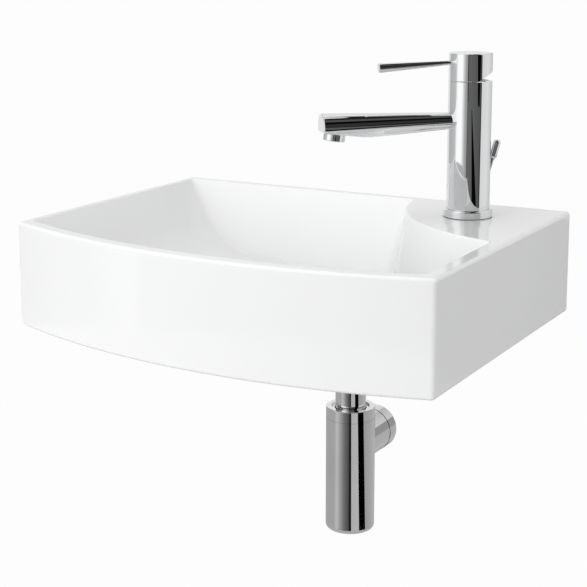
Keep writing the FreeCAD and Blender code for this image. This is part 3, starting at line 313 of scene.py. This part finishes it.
def all_finishes():
    if not finishes:
        look = bpy.context.scene.basin_finishes
        finishes["glazed_white"] = glazed_ceramic(look)
        finishes["polished_chrome"] = polished_plate(look)
        finishes["satin_chrome"] = satin_plate(look)
        finishes["brushed_steel"] = turned_steel()
        finishes["brass"] = bare_brass(look)
        finishes["plated_brass"] = plated_nut()
        finishes["black_rubber"] = moulded_rubber(look)
        finishes["white_plastic"] = moulded_plastic("white_plastic", WHITE_PLASTIC, 0.4)
        finishes["grey_plastic"] = moulded_plastic("grey_plastic", GREY_PLASTIC, 0.25)
        finishes["technical_ceramic"] = lapped_ceramic()
    return finishes


def dress(*nodes, finish=None):
    """Gives nodes of the frame a finish, which is the one that the record names where none is given."""
    by_slot = all_finishes()
    slots = {part["node"]: part["material_slot"] for part in frame["record"]["subparts"]}
    for name in nodes:
        for holder in frame["nodes"][name].material_slots:
            holder.material = by_slot[finish or slots[name]]


# ---------------------------------------------------------------- making meshes
SHARP_EDGE = math.radians(35.0)


def placed(name, content):
    """An object of that name in the scene."""
    thing = bpy.data.objects.new(name, content)
    bpy.context.scene.collection.objects.link(thing)
    return thing


def mesh_object(name, work):
    """Turns the worked mesh into an object, smooth but for its sharp edges."""
    mesh = bpy.data.meshes.new(name)
    work.to_mesh(mesh)
    work.free()
    mesh.shade_smooth()
    mesh.set_sharp_from_angle(angle=SHARP_EDGE)
    return placed(name, mesh)


def stands_for(piece, body, slot, *nodes):
    """Puts a finished piece in place of the frame's nodes."""
    piece.data.materials.clear()
    piece.data.materials.append(all_finishes()[slot])
    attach(piece, body)
    if nodes:
        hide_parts(*nodes)
    return piece


# ---------------------------------------------------------------- pieces grown by geometry nodes
class Growth(Wiring):
    """A geometry node tree whose inputs are the named sizes of what it grows."""

    def __init__(self, name, **sizes):
        self.name = name
        self.sizes = sizes
        self.tree = bpy.data.node_groups.new(name, "GeometryNodeTree")
        sockets = self.tree.interface
        sockets.new_socket("Geometry", in_out="INPUT", socket_type="NodeSocketGeometry")
        sockets.new_socket("Geometry", in_out="OUTPUT", socket_type="NodeSocketGeometry")
        self.identifiers = {}
        for size, value in sizes.items():
            kind = "NodeSocketInt" if isinstance(value, int) else "NodeSocketFloat"
            socket = sockets.new_socket(size, in_out="INPUT", socket_type=kind)
            socket.default_value = value
            self.identifiers[size] = socket.identifier
        self.inputs = self.tree.nodes.new("NodeGroupInput")

    def size(self, name):
        return self.inputs.outputs[name]

    def ring(self, sides, radius, width, height):
        """A closed ring of square section round local Z."""
        path = self.add("GeometryNodeCurvePrimitiveCircle", {"Resolution": sides, "Radius": radius})
        upright = self.add("GeometryNodeSetCurveNormal", {"Curve": path.outputs[0]}, mode="Z_UP")
        section = self.add("GeometryNodeCurvePrimitiveQuadrilateral", {"Width": width, "Height": height})
        inputs = {"Curve": upright.outputs[0], "Profile Curve": section.outputs[0]}
        return self.add("GeometryNodeCurveToMesh", inputs).outputs[0]

    def moved(self, geometry, position=None, offset=None):
        inputs = {"Geometry": geometry}
        if position:
            inputs["Position"] = position
        if offset:
            inputs["Offset"] = offset
        return self.add("GeometryNodeSetPosition", inputs).outputs[0]

    def point(self, x, y, z):
        return self.add("ShaderNodeCombineXYZ", {"X": x, "Y": y, "Z": z}).outputs[0]

    def piece(self, geometry, finish, place):
        """Runs the tree once and keeps its result as a plain mesh."""
        real = self.add("GeometryNodeRealizeInstances", {"Geometry": geometry})
        dressed = self.add("GeometryNodeSetMaterial", {"Geometry": real.outputs[0], "Material": finish})
        self.tree.links.new(dressed.outputs[0], self.tree.nodes.new("NodeGroupOutput").inputs[0])
        carrier = placed(self.name, bpy.data.meshes.new(self.name))
        grown = carrier.modifiers.new("grown", "NODES")
        grown.node_group = self.tree
        for size, identifier in self.identifiers.items():
            grown[identifier] = self.sizes[size]
        state = bpy.context.evaluated_depsgraph_get()
        mesh = bpy.data.meshes.new_from_object(carrier.evaluated_get(state), depsgraph=state)
        bpy.data.objects.remove(carrier)
        mesh.transform(place)
        work = bmesh.new()
        work.from_mesh(mesh)
        bpy.data.meshes.remove(mesh)
        bmesh.ops.recalc_face_normals(work, faces=work.faces)
        return mesh_object(self.name, work)


SAME_POINT = 0.002 * MM                 # points nearer than this are one
POLE = 0.0001                           # share of the rod's length that is taken as its very end


def threaded_rod(name, place, finish, **sizes):
    """A rod whose surface winds up as a screw thread. Its foot is at the origin of place."""
    rod = Growth(name, sides=28, rows_a_turn=6, **sizes)
    turns = rod.maths("DIVIDE", rod.size("length"), rod.size("pitch"))
    rows = rod.maths("MULTIPLY", turns, rod.size("rows_a_turn"))
    sheet = rod.add("GeometryNodeMeshGrid", {
        "Size X": 1.0, "Size Y": 1.0, "Vertices X": rod.maths("ADD", rod.size("sides"), 1.0), "Vertices Y": rows})
    flat = rod.add("ShaderNodeSeparateXYZ", {"Vector": rod.add("GeometryNodeInputPosition").outputs[0]})
    around = rod.maths("ADD", flat.outputs["X"], 0.5)
    along = rod.maths("ADD", flat.outputs["Y"], 0.5)
    height = rod.maths("MULTIPLY", along, rod.size("length"))
    phase = rod.maths("FRACT", rod.maths("SUBTRACT", rod.maths("DIVIDE", height, rod.size("pitch")), around))
    flank = rod.maths("ABSOLUTE", rod.maths("SUBTRACT", rod.maths("MULTIPLY", phase, 2.0), 1.0))
    to_end = rod.maths("MINIMUM", along, rod.maths("SUBTRACT", 1.0, along))
    run_out = rod.maths("SUBTRACT", 1.0, rod.maths("MULTIPLY", to_end, turns))
    cut = rod.maths("MULTIPLY", rod.maths("MAXIMUM", flank, run_out), rod.size("depth"))
    pole = rod.maths("GREATER_THAN", to_end, POLE)
    radius = rod.maths("MULTIPLY", rod.maths("SUBTRACT", rod.size("radius"), cut), pole)
    turn = rod.maths("MULTIPLY", around, 2 * math.pi)
    wound = rod.point(rod.maths("MULTIPLY", radius, rod.maths("COSINE", turn)),
                      rod.maths("MULTIPLY", radius, rod.maths("SINE", turn)), height)
    solid = rod.add("GeometryNodeMergeByDistance", {
        "Geometry": rod.moved(sheet.outputs[0], position=wound), "Distance": SAME_POINT})
    return rod.piece(solid.outputs[0], finish, place)


SIXTH = math.radians(30.0)              # half the angle of one side of a six-sided cell
CELL_ROOM = 0.62                        # cells stay this many pitches inside the rim


def honeycomb(name, place, finish, **sizes):
    """A round grid of six-sided cells in a rim, centred on the origin of place."""
    comb = Growth(name, cells=15, rim_sides=72, **sizes)
    pitch, wall, depth = comb.size("pitch"), comb.size("wall"), comb.size("depth")
    row_step = comb.maths("MULTIPLY", pitch, math.cos(SIXTH))
    steps = comb.maths("SUBTRACT", comb.size("cells"), 1.0)
    spots = comb.add("GeometryNodeMeshGrid", {
        "Size X": comb.maths("MULTIPLY", steps, pitch), "Size Y": comb.maths("MULTIPLY", steps, row_step),
        "Vertices X": comb.size("cells"), "Vertices Y": comb.size("cells")})
    place_of_spot = comb.add("GeometryNodeInputPosition").outputs[0]
    row = comb.maths("ROUND", comb.maths("DIVIDE", comb.add(
        "ShaderNodeSeparateXYZ", {"Vector": place_of_spot}).outputs["Y"], row_step))
    shift = comb.maths("MULTIPLY", comb.maths("FLOORED_MODULO", row, 2.0), comb.maths("MULTIPLY", pitch, 0.5))
    staggered = comb.moved(spots.outputs[0], offset=comb.point(shift, 0.0, 0.0))
    reach = comb.add("ShaderNodeVectorMath", {0: place_of_spot}, operation="LENGTH").outputs["Value"]
    room = comb.maths("SUBTRACT", comb.size("radius"), comb.maths("MULTIPLY", pitch, CELL_ROOM))
    apothem = comb.maths("SUBTRACT", comb.maths("MULTIPLY", pitch, 0.5), comb.maths("MULTIPLY", wall, 0.5))
    cell = comb.ring(6, comb.maths("DIVIDE", apothem, math.cos(SIXTH)), wall, depth)
    cells = comb.add("GeometryNodeInstanceOnPoints", {
        "Points": staggered, "Instance": cell, "Selection": comb.maths("LESS_THAN", reach, room),
        "Rotation": (0.0, 0.0, SIXTH)})
    rim_width = comb.size("rim")
    rim_radius = comb.maths("SUBTRACT", comb.size("radius"), comb.maths("MULTIPLY", rim_width, 0.5))
    rim = comb.ring(comb.size("rim_sides"), rim_radius, rim_width, depth)
    both = comb.add("GeometryNodeJoinGeometry")
    for part in (cells.outputs[0], rim):
        comb.tree.links.new(part, both.inputs[0])
    return comb.piece(both.outputs[0], finish, place)


def grip_ribs(name, place, finish, **sizes):
    """Upright ribs in a circle, for the fingers to grip a nut by."""
    grip = Growth(name, sides=10, **sizes)
    spots = grip.add("GeometryNodeMeshCircle", {"Vertices": grip.size("ribs"), "Radius": grip.size("radius")})
    rib = grip.add("GeometryNodeMeshCylinder", {
        "Vertices": grip.size("sides"), "Radius": grip.size("thickness"), "Depth": grip.size("length")})
    ribs = grip.add("GeometryNodeInstanceOnPoints", {"Points": spots.outputs[0], "Instance": rib.outputs[0]})
    return grip.piece(ribs.outputs[0], finish, place)


# ---------------------------------------------------------------- the pieces
class MakeCeramic(bpy.types.Operator):
    """Glazes the ceramic basin"""
    bl_idname = "basin.make_ceramic"
    bl_label = "Ceramic basin"

    def execute(self, context):
        dress("basin")
        return {"FINISHED"}


class MakeTap(bpy.types.Operator):
    """Plates the tap's body, base ring, spout and aerator"""
    bl_idname = "basin.make_tap"
    bl_label = "Tap and spout"

    def execute(self, context):
        dress("tap_base_gasket", "tap_base_ring", "tap_body", "spout", "aerator_housing", "aerator_insert",
              "aerator_washer")
        sizes = context.scene.basin_details
        middle = middle_of("aerator_insert")
        upright = frame_at(middle, SPOUT_TURN) @ Matrix.Rotation(-sizes.aerator_lean, 4, "Y")
        comb = honeycomb("aerator_comb", upright, all_finishes()["white_plastic"], radius=sizes.comb_radius,
                         depth=sizes.comb_depth, pitch=sizes.comb_pitch, wall=sizes.comb_wall, rim=sizes.comb_rim)
        stands_for(comb, "root", "white_plastic", "aerator_insert")
        return {"FINISHED"}


class MakeLever(bpy.types.Operator):
    """Plates the lever and finishes the cartridge below it"""
    bl_idname = "basin.make_lever"
    bl_label = "Lever and cartridge"

    def execute(self, context):
        dress("lever_cap", "lever_handle", "grub_screw", "grub_cover", "cartridge_seals", "cartridge_base",
              "fixed_disc", "moving_disc", "disc_driver", "cartridge_housing", "lever_carrier", "carrier_pin",
              "lever_spindle")
        dress("cartridge_nut", finish="plated_brass")
        return {"FINISHED"}


class MakeWaste(bpy.types.Operator):
    """Finishes the waste, its plug and the rods that work it"""
    bl_idname = "basin.make_waste"
    bl_label = "Pop-up waste"

    def execute(self, context):
        dress("waste_flange", "plug", "plug_stem", "waste_body", "waste_flange_gasket", "waste_body_gasket",
              "plug_seal", "pivot_rod", "pivot_inner_seat", "pivot_outer_seat", "pivot_nut", "lift_rod",
              "lift_knob", "rod_clamp", "clamp_screw")
        sizes = context.scene.basin_details
        towards_clamp = middle_of("rod_clamp") - middle_of("waste_body")
        turn = math.atan2(towards_clamp.y, towards_clamp.x)
        along_nut = frame_at(middle_of("pivot_nut"), turn) @ Matrix.Rotation(math.pi / 2, 4, "Y")
        ribs = grip_ribs("pivot_nut_grip", along_nut, all_finishes()["satin_chrome"], ribs=sizes.grip_ribs,
                         radius=sizes.grip_radius, thickness=sizes.grip_thickness, length=sizes.grip_length)
        stands_for(ribs, "root", "satin_chrome")
        return {"FINISHED"}


class MakeFixings(bpy.types.Operator):
    """Finishes the stud, washer, plate and nut that clamp the tap to the deck"""
    bl_idname = "basin.make_fixings"
    bl_label = "Tap fixings"

    def execute(self, context):
        dress("mounting_stud", "deck_washer", "horseshoe_plate", "stud_nut")
        sizes = context.scene.basin_details
        low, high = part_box("mounting_stud")
        foot = Vector(((low.x + high.x) / 2, (low.y + high.y) / 2, low.z))
        stud = threaded_rod("stud_thread", frame_at(foot), all_finishes()["brass"], length=high.z - low.z,
                            radius=(high.x - low.x) / 2, pitch=sizes.stud_pitch, depth=sizes.stud_depth)
        stands_for(stud, "root", "brass", "mounting_stud")
        return {"FINISHED"}


class MakeTrap(bpy.types.Operator):
    """Plates the bottle trap and its nuts"""
    bl_idname = "basin.make_trap"
    bl_label = "Bottle trap"

    def execute(self, context):
        dress("trap_inlet_nut", "trap_inlet_washer", "trap_inlet_tube", "trap_top_cap", "trap_tube_seal",
              "trap_body", "trap_outlet_nut", "trap_outlet_seal")
        return {"FINISHED"}


# ---------------------------------------------------------------- studio
# Panels that only the object's mirror surfaces see. They lie on balls, each given by its centre and radius.
# The wide one shows in the tap, and the inner one is a little smaller, for panels in front of the wide
# one's. The near one, low down, shows in the trap. Angles are in degrees. Azimuth 0 is straight in front of
# the basin and grows to the right. Each panel is (name, ball, lower edge, upper edge, grey at its first and
# at its last azimuth), and an edge is (first azimuth, last azimuth, elevation).
MIDDLE = Vector((0.0, -0.2, 0.0))
TRAP = middle_of("trap_top_cap")
WIDE = (MIDDLE, 1.30)
INNER = (MIDDLE, 1.28)
NEAR = (Vector((TRAP.x, TRAP.y, 0.0)), 0.60)
LOW, FOOT, TOP = -14.0, -4.5, 60.0
NEAR_LOW, NEAR_TOP = -47.0, -22.0
PANELS = (
    ("window", WIDE, (-46, -15, FOOT), (-46, -15, TOP), 1.20, 1.20),
    ("window_edge", WIDE, (-15, 3, FOOT), (-15, 3, TOP), 1.15, 0.50),
    ("window_sill", WIDE, (-46, 3, LOW), (-46, 3, FOOT), 0.54, 0.50),
    ("window_fade", WIDE, (3, 17, LOW), (3, 17, TOP), 0.50, 0.33),
    ("left", WIDE, (-113, -60, LOW), (-113, -60, TOP), 0.50, 0.60),
    ("left_edge", WIDE, (-60, -46, LOW), (-60, -46, TOP), 0.60, 1.10),
    ("left_light", WIDE, (-140, -113, LOW), (-140, -113, TOP), 0.90, 0.86),
    ("left_back", WIDE, (-180, -140, LOW), (-180, -140, TOP), 0.78, 1.0),
    ("dark_line", WIDE, (17, 22, 1.5), (17, 22, 14), 0.03, 0.03),
    ("dark_start", WIDE, (17, 22, LOW), (17, 22, 1.5), 0.12, 0.12),
    ("dark", WIDE, (22, 86, LOW), (22, 86, 14), 0.15, 0.10),
    ("dark_end", WIDE, (86, 91, LOW), (86, 91, 14), 0.04, 0.04),
    ("wedge_above", INNER, (72, 82, 2.2), (66, 84, 6.5), 0.003, 0.003),
    ("wedge_top", INNER, (66, 84, 6.5), (58, 86, 14), 0.003, 0.003),
    ("wedge_below", INNER, (50, 74, -6), (40, 43, 1.3), 0.003, 0.003),
    ("wedge_foot", INNER, (50, 74, LOW), (50, 74, -6), 0.003, 0.003),
    ("band_soft", WIDE, (17, 92, 14), (17, 92, 36), 0.035, 0.035),
    ("band_black", WIDE, (17, 92, 36), (17, 92, 51), 0.003, 0.003),
    ("band_grey", WIDE, (17, 112, 51), (17, 112, 64), 0.10, 0.09),
    ("band_line", WIDE, (17, 165, 64), (17, 165, 73), 0.02, 0.02),
    ("ceiling", WIDE, (0, 360, 73), (0, 360, 89), 0.80, 0.80),
    ("right", WIDE, (91, 129, LOW), (91, 129, 51), 0.80, 0.88),
    ("right_back", WIDE, (129, 180, LOW), (129, 180, 51), 0.85, 0.55),
    ("low_right", WIDE, (20, 180, -36), (20, 180, LOW), 0.48, 0.48),
    ("trap_left", NEAR, (-180, -52, NEAR_LOW), (-180, -52, NEAR_TOP), 0.43, 0.45),
    ("trap_glow", NEAR, (-52, -38, NEAR_LOW), (-52, -38, NEAR_TOP), 0.46, 0.62),
    ("trap_dim", NEAR, (-38, -2, NEAR_LOW), (-38, -2, NEAR_TOP), 0.62, 0.19),
    ("trap_dark", NEAR, (-2, 22, NEAR_LOW), (-2, 20, NEAR_TOP), 0.19, 0.07),
    ("trap_line", NEAR, (22, 33, NEAR_LOW), (20, 28, NEAR_TOP), 0.012, 0.012),
    ("trap_light", NEAR, (33, 70, NEAR_LOW), (28, 54, NEAR_TOP), 0.53, 0.56),
    ("trap_black", NEAR, (70, 103, NEAR_LOW), (54, 80, NEAR_TOP), 0.0, 0.0),
    ("trap_right", NEAR, (103, 180, NEAR_LOW), (80, 180, NEAR_TOP), 0.40, 0.55),
    ("trap_back", NEAR, (80, 200, NEAR_TOP), (80, 200, -2.0), 0.33, 0.36),
)


PANEL_STEP = 3.0                        # degrees from column to column
PANEL_ROWS = 6


def panel_material(name):
    """Plain glow whose level is painted on the panel's columns."""
    material = bpy.data.materials.new(name)
    material.use_nodes = True
    tree = material.node_tree
    tree.nodes.clear()
    level = tree.nodes.new("ShaderNodeAttribute")
    level.attribute_name = "level"
    glow = tree.nodes.new("ShaderNodeEmission")
    tree.links.new(level.outputs["Color"], glow.inputs["Color"])
    output = tree.nodes.new("ShaderNodeOutputMaterial")
    tree.links.new(glow.outputs["Emission"], output.inputs["Surface"])
    return material


def on_ball(ball, azimuth, elevation):
    """A point in that direction from the middle of a ball."""
    centre, radius = ball
    across, up = math.radians(azimuth), math.radians(elevation)
    flat = math.cos(up)
    return centre + radius * Vector((math.sin(across) * flat, -math.cos(across) * flat, math.sin(up)))


def part_way(first, last, part):
    return first + (last - first) * part


def make_panel(name, ball, lower, upper, first_level, last_level):
    """A curved sheet between two edges on a ball, whose grey runs from side to side."""
    columns = max(4, round(abs(lower[1] - lower[0]) / PANEL_STEP))
    rows = PANEL_ROWS
    work = bmesh.new()
    level = work.loops.layers.float_color.new("level")
    grid = []
    for column in range(columns + 1):
        grid.append([])
        for row in range(rows + 1):
            start, end, elevation = (part_way(low, high, row / rows) for low, high in zip(lower, upper))
            azimuth = part_way(start, end, column / columns)
            grid[-1].append(work.verts.new(on_ball(ball, azimuth, elevation)))
    for column in range(columns):
        for row in range(rows):
            corners = [(column, row), (column + 1, row), (column + 1, row + 1), (column, row + 1)]
            face = work.faces.new([grid[c][r] for c, r in corners])
            for loop, (c, _) in zip(face.loops, corners):
                grey = part_way(first_level, last_level, c / columns)
                loop[level] = (grey, grey, grey, 1.0)
    show_in_mirrors(mesh_object("panel_" + name, work))


GROUND_SIZE = 1.2                       # metres from the middle to each side
GROUND_GREY = 0.5
GROUND_LIFT = 0.02                      # metres over the floor


def level_square(work, size, height):
    corners = [(-size, -size), (size, -size), (size, size), (-size, size)]
    return work.faces.new([work.verts.new((x, y, height)) for x, y in corners])


def make_ground_panel(drop):
    """A grey sheet just over the floor, so that mirrors facing down aren't blank white."""
    work = bmesh.new()
    level = work.loops.layers.float_color.new("level")
    for loop in level_square(work, GROUND_SIZE, GROUND_LIFT - drop).loops:
        loop[level] = (GROUND_GREY, GROUND_GREY, GROUND_GREY, 1.0)
    show_in_mirrors(mesh_object("panel_ground", work))


def show_in_mirrors(panel):
    """Hides a panel from all but mirror reflections."""
    panel.data.materials.append(panel_material(panel.name))
    panel.visible_camera = False
    panel.visible_diffuse = False
    panel.visible_shadow = False


FLOOR_SIZE = 40.0                       # metres from the middle to each side
FLOOR_GREY = 0.50                       # what the floor gives back of the lamps' light
FLOOR_WHITE = 0.97                      # share of plain white that the camera and mirrors see in it


def seen_share(wiring):
    """1 for what the camera sees, in mirrors and through clear pieces too, and 0 for other light."""
    path = wiring.add("ShaderNodeLightPath").outputs
    not_direct = wiring.maths("MAXIMUM", path["Is Glossy Ray"], path["Is Transmission Ray"])
    return wiring.maths("MAXIMUM", path["Is Camera Ray"], not_direct)


class Backdrop(Wiring):
    """The node tree of a floor's or a room's own look, empty to start with."""

    def __init__(self, owner, output):
        owner.use_nodes = True
        self.tree = owner.node_tree
        self.tree.nodes.clear()
        self.surface = self.tree.nodes.new(output).inputs["Surface"]


def make_floor(drop):
    """A pale floor that shows as white, and keeps a trace of the object's shadow."""
    work = bmesh.new()
    level_square(work, FLOOR_SIZE, -drop)
    floor = mesh_object("floor", work)
    material = bpy.data.materials.new("pale_floor")
    look = Backdrop(material, "ShaderNodeOutputMaterial")
    matt = look.add("ShaderNodeBsdfDiffuse", {"Color": (FLOOR_GREY, FLOOR_GREY, FLOOR_GREY, 1.0)})
    white = look.add("ShaderNodeEmission", {"Color": (1.0, 1.0, 1.0, 1.0)})
    share = look.maths("MULTIPLY", seen_share(look), FLOOR_WHITE)
    look.feed(look.surface, look.add("ShaderNodeMixShader", {
        0: share, 1: matt.outputs[0], 2: white.outputs[0]}).outputs[0])
    floor.data.materials.append(material)


def make_room(ambient):
    """White all round for the camera and mirrors, and an even light of its own for all else."""
    world = bpy.data.worlds.new("room")
    bpy.context.scene.world = world
    look = Backdrop(world, "ShaderNodeOutputWorld")
    strength = look.add("ShaderNodeMapRange", {
        "Value": seen_share(look), "To Min": ambient, "To Max": 1.0}).outputs["Result"]
    look.feed(look.surface, look.add("ShaderNodeBackground", {
        "Color": (1.0, 1.0, 1.0, 1.0), "Strength": strength}).outputs[0])


# Lamps: where each is, what it points at, and the length of its sides, in metres.
KEY_LAMP = (MIDDLE + Vector((-0.26, -0.93, 0.23)).normalized() * 3.0, MIDDLE, 1.8)
TOP_LAMP = (Vector((0.0, -0.2, 2.5)), MIDDLE, 1.6)
SIDE_LAMP = (Vector((1.5, -0.25, 0.12)), Vector((0.24, -0.2, 0.0)), 0.5)
CAMERA_PLACE = (0.7182, -1.4731, 0.3446)
SENSOR_WIDTH = 36.0                     # mm


def make_lamp(name, lamp_place, watts):
    place, target, size = lamp_place
    lamp = bpy.data.lights.new(name, "AREA")
    lamp.shape = "SQUARE"
    lamp.size = size
    lamp.energy = watts
    holder = placed(name, lamp)
    holder.location = place
    holder.rotation_euler = (target - place).to_track_quat("-Z", "Y").to_euler()
    holder.visible_glossy = False


def make_camera(studio):
    lens = bpy.data.cameras.new("camera")
    lens.lens = studio.lens
    lens.sensor_width = SENSOR_WIDTH
    lens.shift_y = studio.picture_shift
    camera = placed("camera", lens)
    camera.location = CAMERA_PLACE
    camera.rotation_euler = (math.pi / 2 - studio.pitch, 0.0, studio.yaw)
    bpy.context.scene.camera = camera


class SetStage(bpy.types.Operator):
    """Sets up the floor, the lamps, the reflected panels and the camera"""
    bl_idname = "basin.set_stage"
    bl_label = "Studio and camera"

    def execute(self, context):
        studio = context.scene.basin_studio
        make_floor(studio.floor_drop)
        make_room(studio.ambient)
        make_lamp("key_lamp", KEY_LAMP, studio.key_power)
        make_lamp("top_lamp", TOP_LAMP, studio.top_power)
        make_lamp("side_lamp", SIDE_LAMP, studio.side_power)
        for panel in PANELS:
            make_panel(*panel)
        make_ground_panel(studio.floor_drop)
        make_camera(studio)
        context.scene.view_settings.view_transform = "Standard"
        return {"FINISHED"}


class BasinPanel(bpy.types.Panel):
    """Shows the basin's settings and a button for each step that makes its pieces and studio"""
    bl_idname = "VIEW3D_PT_basin"
    bl_label = "Wall hung basin"
    bl_space_type = "VIEW_3D"
    bl_region_type = "UI"
    bl_category = "Basin"

    def draw(self, context):
        for group in GROUPS:
            settings = getattr(context.scene, group)
            for name in GROUPS[group].__annotations__:
                self.layout.prop(settings, name)
        for maker in MAKERS:
            self.layout.operator(maker.bl_idname)


MAKERS = (MakeCeramic, MakeTap, MakeLever, MakeWaste, MakeFixings, MakeTrap, SetStage)
GROUPS = {"basin_finishes": BasinFinishes, "basin_studio": BasinStudio, "basin_details": BasinDetails}


def register():
    for kind in (*GROUPS.values(), *MAKERS, BasinPanel):
        bpy.utils.register_class(kind)
    for name, group in GROUPS.items():
        setattr(bpy.types.Scene, name, bpy.props.PointerProperty(type=group))


def unregister():
    for name in GROUPS:
        delattr(bpy.types.Scene, name)
    for kind in (BasinPanel, *MAKERS, *GROUPS.values()):
        bpy.utils.unregister_class(kind)


def main():
    register()
    bpy.ops.basin.make_ceramic()
    bpy.ops.basin.make_tap()
    bpy.ops.basin.make_lever()
    bpy.ops.basin.make_waste()
    bpy.ops.basin.make_fixings()
    bpy.ops.basin.make_trap()
    bpy.ops.basin.set_stage()


if __name__ == "__main__":
    main()
